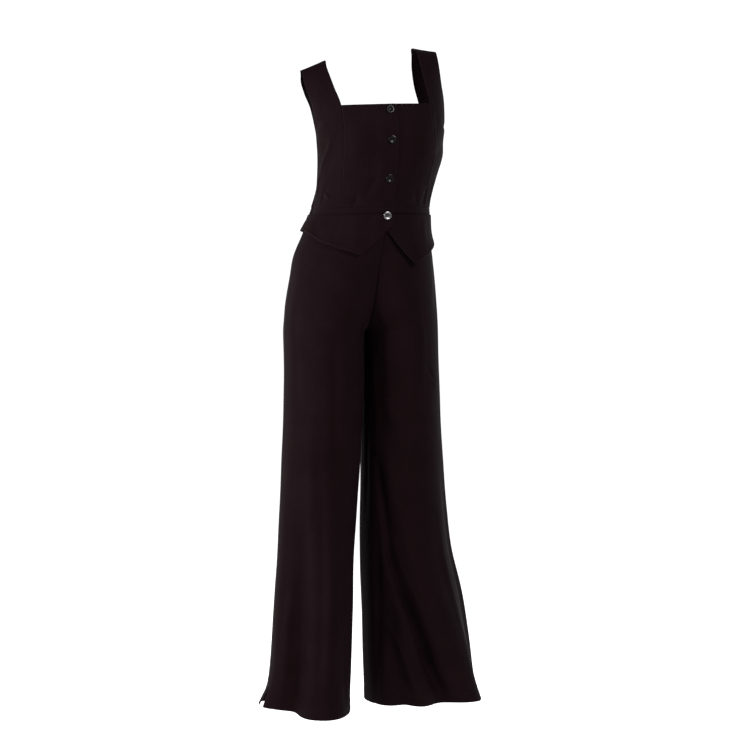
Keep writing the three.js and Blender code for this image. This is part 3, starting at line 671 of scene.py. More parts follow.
def add_cloth(name, points, worn, settings, keep=None):
    """A finished cloth piece: its outer face as a grid, with the wall laid inside it."""
    rows, columns = points.shape[:2]
    out = normals(points)
    raw = np.cross(points[1:, :-1] - points[:-1, :-1], points[:-1, 1:] - points[:-1, :-1])
    clockwise = (raw * out[:-1, :-1]).sum() < 0
    cells = grid_faces(rows, columns, keep, clockwise)
    used, corners = np.unique(cells, return_inverse=True)
    corners = corners.reshape(cells.shape).tolist()
    crepe = material("soft_crepe", crepe_material, settings)
    made = add_object(f"{name}_cloth", points.reshape(-1, 3)[used], corners, crepe)
    mesh = made.data
    corner_points = np.empty(len(mesh.loops), np.int32)
    mesh.loops.foreach_get("vertex_index", corner_points)
    flat = cloth_coordinates(points).reshape(-1, 2)[used][corner_points]
    mesh.uv_layers.new(name="cloth").data.foreach_set("uv", flat.astype(np.float32).ravel())
    layer = mesh.attributes.new("worn", "FLOAT", "POINT")
    layer.data.foreach_set("value", worn.reshape(-1)[used].astype(np.float32))
    wall = made.modifiers.new("wall", "SOLIDIFY")
    wall.thickness, wall.offset = settings.thickness, -1
    inside_frame(made, name, FRAME_REACH)
    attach(made, "root")
    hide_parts(name)
    return made


def inside_frame(made, name, reach):
    """Raises an error if a piece leaves its part's box by more than reach, in millimetres."""
    low, high = (np.array(corner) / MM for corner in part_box(name))
    flat = np.empty(len(made.data.vertices) * 3, np.float32)
    made.data.vertices.foreach_get("co", flat)
    flat = flat.reshape(-1, 3) / MM
    over = max((low - flat.min(0)).max(), (flat.max(0) - high).max())
    if over > reach:
        raise RuntimeError(f"{name} stands {over:.1f} mm outside its part")


def joined(parts):
    """One list of points and faces from several."""
    points, faces, shift = [], [], 0
    for vertices, corners in parts:
        points.append(vertices)
        faces.extend((np.asarray(corner) + shift).tolist() for corner in corners)
        shift += len(vertices)
    return np.concatenate(points), faces


# ---------------------------------------------------------------- stitches
def trace(points, out, gap, offset):
    """The line on a grid at a distance from the edge at its first row, with its normals."""
    past = np.clip(np.argmax(gap > offset, axis=0), 1, None)
    column = np.arange(points.shape[1])
    near, far = gap[past - 1, column], gap[past, column]
    share = np.clip((offset - near) / np.maximum(far - near, 1e-6), 0, 1)[:, None]
    both = np.concatenate([points, out], axis=-1)
    return lerp(both[past - 1, column], both[past, column], share)


def evenly(line, pitch):
    """A line's points, normals and directions at an even pitch along it."""
    length = np.concatenate([[0], np.linalg.norm(np.diff(line[:, :3], axis=0), axis=1).cumsum()])
    count = max(2, int(length[-1] / pitch))
    wanted = (np.arange(count) + 0.5) * length[-1] / count
    step = STITCH["length"] / 2
    at = lambda place: np.stack([np.interp(place, length, column) for column in line.T], axis=1)
    here, ahead, behind = at(wanted), at(wanted + step), at(wanted - step)
    heading = ahead[:, :3] - behind[:, :3]
    heading /= np.maximum(np.linalg.norm(heading, axis=1, keepdims=True), 1e-9)
    return here[:, :3], here[:, 3:], heading


def stitches(places, out, heading, length=STITCH["length"], radius=STITCH["radius"]):
    """A short round-ended thread at each place: a ring of six points at four stations."""
    station = np.array([-0.5, -0.34, 0.34, 0.5])
    size = np.array([0.35, 1, 1, 0.35])
    turn = np.arange(6) * math.pi / 3
    side = np.cross(heading, out)
    side /= np.maximum(np.linalg.norm(side, axis=1, keepdims=True), 1e-9)
    up = np.cross(side, heading)
    ring = np.cos(turn)[:, None, None] * side + np.sin(turn)[:, None, None] * up
    middle = places - out * STITCH["sink"]
    spots = middle + (station * length)[:, None, None, None] * heading
    points = spots + (size * radius)[:, None, None, None] * ring
    points = points.transpose(2, 0, 1, 3).reshape(-1, 3)
    first = (np.arange(len(places)) * 24)[:, None]
    pattern = [
        (6 * s + k, 6 * s + (k + 1) % 6, 6 * s + 6 + (k + 1) % 6, 6 * s + 6 + k)
        for s in range(3) for k in range(6)
    ]
    sides = (first[:, :, None] + np.array(pattern)[None]).reshape(-1, 4).tolist()
    caps = np.array([[5, 4, 3, 2, 1, 0], [18, 19, 20, 21, 22, 23]])
    return points, sides + (first[:, :, None] + caps[None]).reshape(-1, 6).tolist()


SEWN = {"bodice": [], "hems": []}  # stitches by group, filled in as the pieces are made


def sew(group, grid, out, gap, offset, spare=None):
    """Keeps a line of stitches to be made with its group. spare says which columns it spans."""
    line = trace(grid, out, gap, offset)
    if spare is not None:
        line = line[spare]
    if len(line) > 2:
        SEWN[group].append(stitches(*evenly(line, STITCH["pitch"])))


# ---------------------------------------------------------------- shader sums
class Wire:
    """A node's output that can be used in sums: each sum adds a Math node."""

    def __init__(self, recipe, socket):
        self.recipe, self.socket = recipe, socket

    def math(self, operation, first, second):
        return self.recipe.node("ShaderNodeMath", {"operation": operation}, {0: first, 1: second})

    def __add__(self, other):
        return self.math("ADD", self, other)

    def __sub__(self, other):
        return self.math("SUBTRACT", self, other)

    def __rsub__(self, other):
        return self.math("SUBTRACT", other, self)

    def __mul__(self, other):
        return self.math("MULTIPLY", self, other)

    __radd__, __rmul__ = __add__, __mul__


class Recipe:
    """The nodes of one material or world."""

    def __init__(self, tree, shader):
        self.tree, self.shader = tree, tree.nodes[shader]

    @classmethod
    def named(cls, name):
        """A new material's recipe."""
        made = bpy.data.materials.new(name)
        made.use_nodes = True
        recipe = cls(made.node_tree, "Principled BSDF")
        recipe.material = made
        return recipe

    def node(self, kind, settings=None, inputs=None, output=0):
        """Adds a node: its settings first, then the values or wires of its sockets."""
        made = self.tree.nodes.new(kind)
        for key, value in (settings or {}).items():
            setattr(made, key, value)
        for key, value in (inputs or {}).items():
            self.feed(made.inputs[key], value)
        return Wire(self, made.outputs[output])

    def feed(self, socket, value):
        if isinstance(value, Wire):
            self.tree.links.new(value.socket, socket)
        else:
            socket.default_value = value

    def set(self, **values):
        """Sets or links the shader's sockets: base_color is Base Color."""
        for key, value in values.items():
            name = " ".join(word.upper() if word == "ior" else word.title() for word in key.split("_"))
            if isinstance(value, tuple) and len(value) == 3:
                value = (*value, 1)
            self.feed(self.shader.inputs[name], value)

    def noise(self, place, scale, detail=2, roughness=0.5, distortion=0):
        inputs = {
            "Vector": place, "Scale": scale, "Detail": detail,
            "Roughness": roughness, "Distortion": distortion,
        }
        return self.node("ShaderNodeTexNoise", {"noise_dimensions": "3D"}, inputs)

    def mix(self, share, first, second):
        """A colour between two colours."""
        settings = {"data_type": "RGBA"}
        return self.node("ShaderNodeMix", settings, {0: share, 6: first, 7: second}, output=2)

    def bump(self, height, strength, reach):
        inputs = {"Height": height, "Strength": strength, "Distance": reach}
        return self.node("ShaderNodeBump", None, inputs)

    def objects(self):
        return self.node("ShaderNodeTexCoord", None, None, output="Object")

    def mapped(self, place, scale, turn=(0, 0, 0)):
        """Coordinates stretched and turned for a pattern that runs one way."""
        inputs = {"Vector": place, "Scale": scale, "Rotation": turn}
        return self.node("ShaderNodeMapping", None, inputs)


def opaque(colour):
    return (*colour, 1)


def crepe_material(settings):
    """Black crepe: crossed uneven yarns, a pebbled face, slow changes of tone, worn edges."""
    recipe = Recipe.named("soft_crepe")
    place = recipe.node("ShaderNodeUVMap", {"uv_map": "cloth"})
    worn = recipe.node("ShaderNodeAttribute", {"attribute_name": "worn"}, None, output="Fac")
    warp = recipe.noise(recipe.mapped(place, (2600, 420, 1)), 1, 1, 0.5)
    weft = recipe.noise(recipe.mapped(place, (380, 2300, 1)), 1, 1, 0.5)
    pebble = recipe.noise(place, 900, 3, 0.62, 0.4)
    yarns = warp * 0.5 + weft * 0.5
    cloud = recipe.noise(place, 14, 3, 0.55)
    tone = cloud * 0.7 + yarns * 0.3
    even = recipe.mix(tone, opaque(settings.deep_colour), opaque(settings.light_colour))
    recipe.set(
        base_color=recipe.mix(worn * 0.2, even, opaque(settings.worn_colour)),
        roughness=0.66 + pebble * 0.24 - worn * 0.08,
        sheen_weight=0.03,
        sheen_roughness=0.22,
        sheen_tint=(0.8, 0.6, 0.66),
        specular_ior_level=0.035,
        normal=recipe.bump(pebble * 0.6 + yarns * 0.7, 0.55, 0.00035),
    )
    return recipe.material


def thread_material():
    """Twisted black sewing thread, a little brighter than the cloth."""
    recipe = Recipe.named("sewing_thread")
    twist = recipe.noise(recipe.mapped(recipe.objects(), (900, 900, 2600)), 1, 1, 0.5)
    recipe.set(
        base_color=recipe.mix(twist, (0.004, 0.002, 0.0025, 1), (0.012, 0.007, 0.0085, 1)),
        roughness=0.55 + twist * 0.2,
        specular_ior_level=0.1,
        normal=recipe.bump(twist, 0.4, 0.0002),
    )
    return recipe.material


def resin_material(settings):
    """Polished black resin with faint swirls and fine scratches."""
    recipe = Recipe.named("black_resin")
    place = recipe.objects()
    swirl = recipe.noise(place, 260, 3, 0.5, 2.5)
    scratch = recipe.noise(recipe.mapped(place, (3000, 400, 500), (0, 0, 0.6)), 1, 2, 0.6)
    recipe.set(
        base_color=recipe.mix(swirl, opaque(settings.resin_colour), (0.012, 0.01, 0.011, 1)),
        roughness=0.09 + scratch * 0.08,
        specular_ior_level=0.1,
        normal=recipe.bump(scratch, 0.08, 0.0002),
    )
    return recipe.material


def silver_material(settings):
    """Bright silver-coloured metal with fine scratches, painted darker and made rougher in the dish:
    the dark colour is a painted reflection of dark surroundings.
    """
    recipe = Recipe.named("silver_metal")
    place = recipe.objects()
    # shade reads the "sunk" attribute: where it is high, the colour is painted darker, a painted dark
    # reflection in the dish.
    shade = recipe.node("ShaderNodeAttribute", {"attribute_name": "sunk"}, None, output="Fac")
    cloud = recipe.noise(place, 420, 3, 0.6, 1.2)
    scratch = recipe.noise(recipe.mapped(place, (500, 400, 3600), (0.5, 0, 0)), 1, 2, 0.6)
    bright = recipe.mix(cloud, opaque(settings.silver_colour), (0.2, 0.19, 0.195, 1))
    recipe.set(
        base_color=recipe.mix(shade, bright, (0.03, 0.026, 0.027, 1)),
        metallic=1.0,
        roughness=0.2 + scratch * 0.14 + shade * 0.16,
        normal=recipe.bump(scratch, 0.12, 0.0002),
    )
    return recipe.material


def floor_material(settings, ahead):
    """Matt pale studio floor with a barely uneven tone. It glows by its own emission, brighter towards
    and under the backdrop: painted light that washes out shadows cast on it.
    """
    recipe = Recipe.named("studio_floor")
    dot = {"operation": "DOT_PRODUCT"}
    toward = recipe.node("ShaderNodeVectorMath", dot, {0: recipe.objects(), 1: ahead}, output="Value")
    limits = {"Value": toward, "From Min": GLOW["start"], "From Max": GLOW["full"]}
    glow = recipe.node("ShaderNodeMapRange", {"interpolation_type": "SMOOTHSTEP"}, limits)
    cloud = recipe.noise(recipe.objects(), 0.8, 2, 0.5)
    recipe.set(
        base_color=recipe.mix(cloud, opaque(settings.floor_colour), (0.9, 0.9, 0.9, 1)),
        roughness=0.9,
        specular_ior_level=0.1,
        # The emission is painted light: the floor glows by itself, from faint in front of the garment
        # to full under the backdrop.
        emission_color=glow,
        emission_strength=0.8,
    )
    return recipe.material


def material(name, make, *settings):
    """A material by name, made the first time that it is wanted."""
    return bpy.data.materials.get(name) or make(*settings)


# ---------------------------------------------------------------- settings
class ClothSettings(bpy.types.PropertyGroup):
    """Sizes and colours of the cloth."""

    thickness: FloatProperty(
        name="Thickness", description="Thickness of the cloth wall", default=1.25 * MM, unit="LENGTH"
    )
    step: FloatProperty(
        name="Grid step", description="Widest spacing of the cloth's points", default=2.5 * MM,
        unit="LENGTH",
    )
    leg_step: FloatProperty(
        name="Leg grid step", description="Widest spacing of points on the legs", default=4.4 * MM,
        unit="LENGTH",
    )
    creasing: FloatProperty(
        name="Creasing", description="Strength of the soft creases", default=1.0, min=0, max=2,
        subtype="FACTOR",
    )
    deep_colour: FloatVectorProperty(
        name="Deep colour", description="Darkest tone of the crepe", default=(0.0034, 0.0010, 0.0015),
        subtype="COLOR", min=0, max=1,
    )
    light_colour: FloatVectorProperty(
        name="Light colour", description="Lightest tone of the crepe", default=(0.0092, 0.0037, 0.0052),
        subtype="COLOR", min=0, max=1,
    )
    worn_colour: FloatVectorProperty(
        name="Worn colour", description="Tone of the pressed and rubbed edges",
        default=(0.018, 0.011, 0.013), subtype="COLOR", min=0, max=1,
    )


class ButtonSettings(bpy.types.PropertyGroup):
    """Sizes and colours of the buttons."""

    radius: FloatProperty(name="Radius", description="Half the width of a button", default=8.6 * MM,
                          unit="LENGTH")
    thickness: FloatProperty(name="Thickness", description="Height of the rim", default=3.2 * MM,
                             unit="LENGTH")
    resin_colour: FloatVectorProperty(
        name="Resin colour", description="Colour of the three bodice buttons",
        default=(0.004, 0.0036, 0.004), subtype="COLOR", min=0, max=1,
    )
    silver_colour: FloatVectorProperty(
        name="Metal colour", description="Colour of the waist button", default=(0.42, 0.4, 0.405),
        subtype="COLOR", min=0, max=1,
    )


class StageSettings(bpy.types.PropertyGroup):
    """The studio round the garment."""

    drop: FloatProperty(name="Floor drop", description="Floor below the hem", default=0.085,
                        unit="LENGTH")
    backdrop: FloatProperty(name="Backdrop", description="Brightness behind the garment", default=1.12)
    room: FloatProperty(name="Room", description="Brightness of the rest of the room", default=0.12)
    backdrop_edge: FloatProperty(name="Backdrop edge", default=0.4,
                                 description="Cosine to its middle at which the backdrop ends")
    floor_colour: FloatVectorProperty(name="Floor colour", description="Colour of the floor",
                                      default=(0.86, 0.86, 0.86), subtype="COLOR", min=0, max=1)
    camera_distance: FloatProperty(name="Camera distance", description="From the garment's axis",
                                   default=4.0, unit="LENGTH")
    camera_turn: FloatProperty(name="Camera turn", description="To the wearer's right of the front",
                               default=math.radians(18.73), subtype="ANGLE")
    camera_level: FloatProperty(name="Camera level", description="Height from the shoulders",
                                default=-0.370, unit="LENGTH")
    camera_fall: FloatProperty(name="Camera fall", description="Tilt of the camera below level",
                               default=math.radians(4.55), subtype="ANGLE")
    camera_aside: FloatProperty(name="Camera aside", default=14.1 * MM, unit="LENGTH",
                                description="Camera's aim to the right of the garment's axis")
    lens: FloatProperty(name="Lens", description="Focal length in millimetres", default=87.86)


# ---------------------------------------------------------------- the pieces
def centre_piece(name, side, settings):
    """One side of the buttoned front: across from the princess seam to the lapping edge."""
    step = settings.step / MM * 0.75
    row = rows_between(NECK_ROW, BODICE_FOOT, step)[:, None]
    share = stops(PRINCESS_WAIST + LAP_REACH, step)[None]
    aside = lerp(princess(row) - SEAM_TOUCH, -LAP_REACH, share)
    angle = side * angle_aside(row, aside)
    base = torso_points(angle, row + 0 * share, lap_rise if side < 0 else no_rise)
    waist, join = distance(base, base[-1]), distance(base, base[:, 0])
    neck, edge = distance(base, base[0]), distance(base, base[:, -1])
    lapped = side > 0  # the left front lies flat under the lap
    around = TORSO_ROUND * angle
    crease = creases(around, base[..., 2], BODICE_CREASES, settings.creasing * CREASING["bodice"])
    crease = crease + ripple(around, base[..., 2], UNEVEN["torso"])
    under = smooth(side * aside, LAP_REACH + 2, LAP_REACH + 12) if lapped else 1
    relief = crease * under + seam(join) + seam(waist) + faced(neck)
    if not lapped:
        relief = relief + turned(edge, LAP_REACH, NOT_STITCHED)
    points = base + normals(base) * relief[..., None]
    folded = np.maximum(bell(neck, WORN["edge"]), bell(edge, WORN["edge"]))
    worn = folded + 0.5 * bell(join, WORN["seam"])
    made = add_cloth(name, points, worn, settings)
    sew("bodice", points, normals(points), neck, NECK_STITCH, edge[0] > 1.5)
    return made


def side_piece(name, side, settings):
    """Side of the front with its strap: across from the neck edge to the armhole edge."""
    step = settings.step / MM
    row = np.concatenate([
        rows_between(SHOULDER_ROW, NECK_ROW, step), rows_between(NECK_ROW, BODICE_FOOT, step)[1:],
    ])[:, None]
    share = stops(SPREAD["side"], step)[None]
    inside = angle_aside(row, princess(row)) + np.where(row > NECK_ROW, SEAM_ANGLE, 0)
    outside = armhole(row, "frontArm") - np.where(row >= UNDERARM_ROW, SEAM_ANGLE, 0)
    angle = side * lerp(inside, outside, share)
    base = torso_points(angle, row + 0 * share, no_rise)
    sewn_in, sewn_out = row[:, 0] >= NECK_ROW, row[:, 0] >= UNDERARM_ROW
    join, neck = distance(base, base[sewn_in, 0]), distance(base, base[~sewn_in, 0])
    flank, arm = distance(base, base[sewn_out, -1]), distance(base, base[~sewn_out, -1])
    waist, shoulder = distance(base, base[-1]), distance(base, base[0])
    around, calm = TORSO_ROUND * angle, smooth(row, *STRAP_CALM)
    relief = creases(around, base[..., 2], BODICE_CREASES, settings.creasing * CREASING["bodice"])
    relief = relief + ripple(around, base[..., 2], UNEVEN["torso"]) * calm
    relief = relief + seam(join) + seam(flank) + seam(waist) + seam(shoulder)
    relief = relief + faced(neck) + faced(arm)
    points = base + normals(base) * relief[..., None]
    sewn = np.maximum(bell(join, WORN["seam"]), bell(flank, WORN["seam"]))
    folded = np.maximum(bell(neck, WORN["edge"]), bell(arm, WORN["edge"]))
    worn = folded + 0.5 * sewn
    made = add_cloth(name, points, worn, settings)
    out = normals(points)
    clear = shoulder > 2
    for flip, gap, strap in ((1, neck, ~sewn_in), (-1, arm, ~sewn_out)):
        grid, facing = points[:, ::flip].swapaxes(0, 1), out[:, ::flip].swapaxes(0, 1)
        spare = strap & clear[:, 0 if flip > 0 else -1]
        sew("bodice", grid, facing, gap[:, ::flip].swapaxes(0, 1), NECK_STITCH, spare)
    return made


def back_piece(name, settings):
    """The back with both straps, as one grid with the neck left out."""
    step = settings.step / MM
    upper = rows_between(SHOULDER_ROW, UNDERARM_ROW, step)
    row = np.concatenate([upper, rows_between(UNDERARM_ROW, BODICE_FOOT, step)[1:]])[:, None]
    neck_row = len(upper) - 1
    inside = angle_aside(row, along(STRAP, "row", "back", np.minimum(row, UNDERARM_ROW)))
    outside = armhole(row, "backArm") - np.where(row >= UNDERARM_ROW, SEAM_ANGLE, 0)
    neck_share = stops(SPREAD["neck"], step)[None]
    strap_share = stops(SPREAD["strap"], step)[None, 1:]
    half = np.concatenate([inside * neck_share, lerp(inside, outside, strap_share)], axis=1)
    offset = np.concatenate([-half[:, :0:-1], half], axis=1)
    angle = math.pi - offset
    reach, neck_columns = half.shape[1] - 1, neck_share.shape[1] - 1
    base = torso_points(angle, row + 0 * angle, back_rise)
    left, right = reach - neck_columns, reach + neck_columns
    straps = row[:, 0] < UNDERARM_ROW
    neck_line = np.concatenate([
        base[:neck_row, left], base[neck_row, left:right + 1], base[:neck_row, right],
    ])
    neck = distance(base, neck_line)
    arm = distance(base, np.concatenate([base[straps, 0], base[straps, -1]]))
    flank = distance(base, np.concatenate([base[~straps, 0], base[~straps, -1]]))
    waist, shoulder = distance(base, base[-1]), distance(base, base[0])
    drawn = 1 - smooth(waist, 4, GATHERS["above"])
    folds = gathers(angle, drawn**1.6 * smooth(flank, 2, 14))
    around, calm = TORSO_ROUND * offset, smooth(row, *STRAP_CALM)
    relief = creases(-around, base[..., 2], BACK_CREASES, settings.creasing * CREASING["back"])
    relief = relief + folds + ripple(around, base[..., 2], UNEVEN["back"]) * calm
    relief = relief + seam(flank) + seam(waist) + seam(shoulder)
    relief = relief + faced(neck) + faced(arm)
    points = base + normals(base) * relief[..., None]
    columns = np.abs(np.arange(points.shape[1] - 1) + 0.5 - reach) > neck_columns
    keep = (np.arange(points.shape[0] - 1) >= neck_row)[:, None] | columns[None]
    folded = np.maximum(bell(neck, WORN["edge"]), bell(arm, WORN["edge"]))
    worn = folded + 0.5 * bell(flank, WORN["seam"])
    made = add_cloth(name, points, worn, settings, keep)
    out = normals(points)
    clear = straps & (shoulder[:, 0] > 2)
    for edge, flip in ((0, 1), (right, 1), (left, -1), (points.shape[1] - 1, -1)):
        strip = slice(edge, edge + 40) if flip > 0 else slice(edge, max(edge - 40, 0) or None, -1)
        gap = arm if edge in (0, points.shape[1] - 1) else neck
        grids = (grid[:, strip].swapaxes(0, 1) for grid in (points, out, gap))
        sew("bodice", *grids, NECK_STITCH, clear)
    under = slice(neck_row, neck_row + 40)
    span = np.arange(points.shape[1])
    sew("bodice", points[under], out[under], neck[under], NECK_STITCH,
        (span > left) & (span < right))
    return made


def band_piece(name, side, settings):
    """Front half of the waistband: across from the lapping end to the side seam."""
    step = settings.step / MM
    down = stops(BAND_DEPTH, step, CLOSE_LINES[:6])[:, None]
    row = lerp(WAIST_ROW + SEAM_TOUCH / BAND_DEPTH, BAND_ROW - SEAM_TOUCH / BAND_DEPTH, down)
    share = stops(SPREAD["band"], step)[None]
    angle = side * lerp(angle_aside(row, -LAP_REACH), math.pi / 2 - SEAM_ANGLE, share)
    base = torso_points(angle, row + 0 * share, lap_rise if side < 0 else no_rise)
    edges = distance(base, np.concatenate([base[0], base[-1], base[:, -1]]))
    end = distance(base, base[:, 0])
    relief = 0.35 - 1.2 * bell(edges, 1.5) + ripple(TORSO_ROUND * angle, base[..., 2], UNEVEN["band"])
    if side < 0:
        relief = relief + turned(end, LAP_REACH, NOT_STITCHED)
    points = base + normals(base) * relief[..., None]
    worn = 0.6 * bell(edges, 2) + bell(end, WORN["edge"])
    return add_cloth(name, points, worn, settings)


def back_band_piece(name, settings):
    """Back of the waistband, drawn up by its elastic, with two rows of stitching sunk in it."""
    step = settings.step / MM * 0.7
    down = stops(BAND_DEPTH, step, CLOSE_LINES[:6])[:, None]
    row = lerp(WAIST_ROW + SEAM_TOUCH / BAND_DEPTH, BAND_ROW - SEAM_TOUCH / BAND_DEPTH, down)
    share = stops(SPREAD["back_band"], step)[None]
    angle = lerp(math.pi / 2 + SEAM_ANGLE, 1.5 * math.pi - SEAM_ANGLE, share)
    base = torso_points(angle, row + 0 * angle, back_rise)
    edges = distance(base, np.concatenate([base[0], base[-1]]))
    ends = distance(base, np.concatenate([base[:, 0], base[:, -1]]))
    held = np.minimum(bell(down - 0.33, 0.08) + bell(down - 0.67, 0.08), 1)
    folds = gathers(angle, 1.15 * smooth(ends, 2, 14)) * (1 - 0.45 * held) - 0.3 * held
    relief = folds - 1.1 * bell(edges, 1.5) - 0.9 * bell(ends, 1.5)
    points = base + normals(base) * relief[..., None]
    worn = 0.5 * bell(edges, 2)
    return add_cloth(name, points, worn, settings)


def peplum_piece(name, part, span, rise, settings):
    """A piece of the peplum, with a column at each corner of its lower edge."""
    hem = PEPLUM_HEMS[part]
    step = settings.step / MM
    first, last = span
    within = (hem["angle"] > first) & (hem["angle"] < last)
    corners = np.concatenate([[first], hem["angle"][within], [last]])
    lengths = np.radians(np.diff(corners)) * TORSO_ROUND * 1.15
    runs = [
        lerp(a, b, np.linspace(0, 1, math.ceil(length / step) + 1)[1:])
        for a, b, length in zip(corners[:-1], corners[1:], lengths)
    ]
    ends = np.degrees(np.array([0.35, 0.9, 1.8]) / TORSO_ROUND)
    angle = np.unique(np.concatenate([[first], *runs, first + ends, last - ends]))
    angle = np.radians(angle)[None]
    drop = stops(SPREAD["peplum"], step)[:, None]
    base = peplum_points(angle, drop + 0 * angle, hem, rise)
    foot, top = distance(base, base[-1]), distance(base, base[0])
    left, right = distance(base, base[:, 0]), distance(base, base[:, -1])
    relief = turned(foot, PEPLUM_TURNING, NOT_STITCHED) - 0.8 * bell(top, 1.5)
    if part == "back":
        fall = (1 - smooth(top, 2, GATHERS["below"])) ** 1.3 * smooth(np.minimum(left, right), 2, 16)
        relief = relief + gathers(angle, fall) + seam(left) + seam(right)
    else:
        around = TORSO_ROUND * angle + 0 * drop
        strength = settings.creasing * CREASING["peplum"]
        relief = relief + creases(around, base[..., 2], PEPLUM_CREASES, strength)
        opening, joined_side = (right, left) if part == "front_right" else (left, right)
        relief = relief + seam(joined_side)
        relief = relief + turned(opening, PEPLUM_TURNING, NOT_STITCHED)
    points = base + normals(base) * relief[..., None]
    worn = bell(foot, 1.8) + 0.4 * bell(np.minimum(left, right), 2)
    return add_cloth(name, points, worn, settings)


def trouser_piece(name, leg, face, settings):
    """One leg panel: across from the outer seam to the inner seam or the centre seam."""
    step = settings.leg_step / MM
    top = TORSO["level"][-1] - SEAM_GAP
    body = lerp(top, VENT["top"], stops(top - VENT["top"], step))
    foot = lerp(VENT["top"], HEM, stops(VENT["top"] - HEM, step / 2))
    level = np.concatenate([body, foot[1:]])[:, None]
    share = stops(SPREAD["leg"], step)[None]
    opened = np.clip((VENT["top"] - level) / (VENT["top"] - HEM), 0, 1)
    lifted = level + HEM_LIFT[leg] * opened * (1 - smooth(share, 0, HEM_LIFT_SHARE))
    start = SEAM_ANGLE + opened * VENT["open"] / VENT["round"]
    turn = lerp(start + 0 * lifted, inner_angle(leg, lifted), share)
    base = leg_points(leg, face, turn, lifted)
    split = level[:, 0] < VENT["top"]
    outer, inner = distance(base, base[~split, 0]), distance(base, base[:, -1])
    vent, hem = distance(base, base[split, 0]), distance(base, base[-1])
    around = LEG_ROUND * turn
    relief = creases(around, lifted, LEG_CREASES[leg, face], settings.creasing * CREASING["leg"])
    sway = smooth(-lifted, -top + 60, -CROTCH)
    relief = relief + ripple(around + 60, lifted, UNEVEN["leg"]) * sway
    relief = relief * smooth(np.minimum(outer, inner), 2, 22)
    relief = relief + seam(outer) + seam(inner)
    if face == "front":
        waves = np.sin(2 * math.pi * lifted / PUCKER["pitch"] + 0.7 * np.sin(lifted / 9))
        span = smooth(-lifted, -PUCKER["top"] - 14, -PUCKER["top"])
        span = span * smooth(lifted, PUCKER["foot"], PUCKER["fade"])
        relief = relief + PUCKER["deep"] * waves * span * bell(inner, PUCKER["wide"])
    relief = relief + turned(hem, HEM_DEPTH, HEM_STITCH) + turned(vent, VENT_STITCH + 2, VENT_STITCH)
    points = base + normals(base) * relief[..., None]
    sewn = np.maximum(bell(outer, WORN["seam"]), bell(inner, WORN["seam"]))
    worn = bell(hem, 2.4) + bell(vent, 2) + 0.5 * sewn
    made = add_cloth(name, points, worn, settings)
    out = normals(points)
    sew("hems", points[::-1], out[::-1], hem[::-1], HEM_STITCH, (vent > VENT_STITCH)[-20])
    grids = (grid.swapaxes(0, 1) for grid in (points, out, vent))
    sew("hems", *grids, VENT_STITCH, split & (hem[:, 0] > 2))
    return made


def button_frame(node, row):
    """Middle of a button's back and its outward direction."""
    row = np.array(row, float)
    at = lambda place: torso_points(np.zeros(()), place, lap_rise)
    down = at(row + 0.2) - at(row - 0.2)
    turn = np.radians(torso("turn", row))
    out = np.cross(down, [np.cos(turn), np.sin(turn), 0])
    out /= np.linalg.norm(out)
    place = at(row) + out * SEAM_GAP
    low, high = (np.array(corner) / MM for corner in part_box(node))
    if np.abs(place - (low + high) / 2).max() > 4:
        raise RuntimeError(f"{node} isn't where its part is")
    return place, out


def waist_button_frame(node):
    """The waist button faces straight forward and lies on the front of its part's box."""
    low, high = (np.array(corner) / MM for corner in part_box(node))
    middle = (low + high) / 2
    return np.array([middle[0], high[1], middle[2]]), np.array([0.0, -1.0, 0.0])


def button_profile(radius, thick):
    """Half section from the middle of the top, over the rim and the side, to the back."""
    dish, bend, bowl = BUTTON["dish"], BUTTON["round"], BUTTON["bowl"]
    floor_edge = radius - BUTTON["rim"] - BUTTON["lip"]
    floor = np.concatenate([np.linspace(0.05, 1.0, 5), np.linspace(1.1, 3.7, 27),
                            np.linspace(3.9, floor_edge, 8)])
    hollow = bowl * (floor / floor_edge) ** 2
    slope = np.linspace(0, 1, 12)[1:]
    lip = floor_edge + 1.6 * slope
    rise = bowl + (dish - bowl + 0.1 * np.sin(math.pi * slope)) * smooth(slope, 0, 1)
    height = thick - dish + np.concatenate([hollow, rise])
    corner = np.linspace(0, math.pi / 2, 8)[1:]
    over = np.stack([radius - bend + bend * np.sin(corner), thick - bend + bend * np.cos(corner)])
    under = np.stack([radius - bend + bend * np.cos(corner), bend - bend * np.sin(corner)])
    across = np.concatenate([floor, lip, over[0], under[0], [radius / 2, 0.05]])
    height = np.concatenate([height, over[1], under[1], [0, 0]])
    return across, height


def turned_solid(across, height, sides, wells):
    """A profile carried round an axis, with wells sunk into it, closed at both ends."""
    turn = np.arange(sides) * 2 * math.pi / sides
    x, y = across[:, None] * np.cos(turn), across[:, None] * np.sin(turn)
    z = height[:, None] - wells(x, y, height[:, None] + 0 * x)
    points = np.stack([x, y, z], axis=-1)
    at = np.arange(len(across) * sides).reshape(len(across), sides)
    after = np.roll(at, -1, axis=1)
    cells = np.stack([at[:-1], at[1:], after[1:], after[:-1]], axis=-1).reshape(-1, 4).tolist()
    return points.reshape(-1, 3), cells + [at[0].tolist(), at[-1][::-1].tolist()]


def button_holes(turn):
    """Places of the four holes, as angles and a pitch from the middle."""
    angles = turn + math.pi / 4 + np.arange(4) * math.pi / 2
    return np.stack([BUTTON["pitch"] * np.cos(angles), BUTTON["pitch"] * np.sin(angles)], axis=1)


def wells_for(turn, thick):
    """Depth of the four holes: a steep-sided well round each place, on the top face only."""
    holes = button_holes(turn)

    def wells(x, y, height):
        depth = np.zeros_like(x)
        for place in holes:
            gap = np.hypot(x - place[0], y - place[1])
            depth = np.maximum(depth, 1 - smooth(gap, BUTTON["hole"] - 0.12, BUTTON["hole"] + 0.06))
        return depth * (thick - BUTTON["dish"] - 0.3) * (height > thick / 2)

    return wells


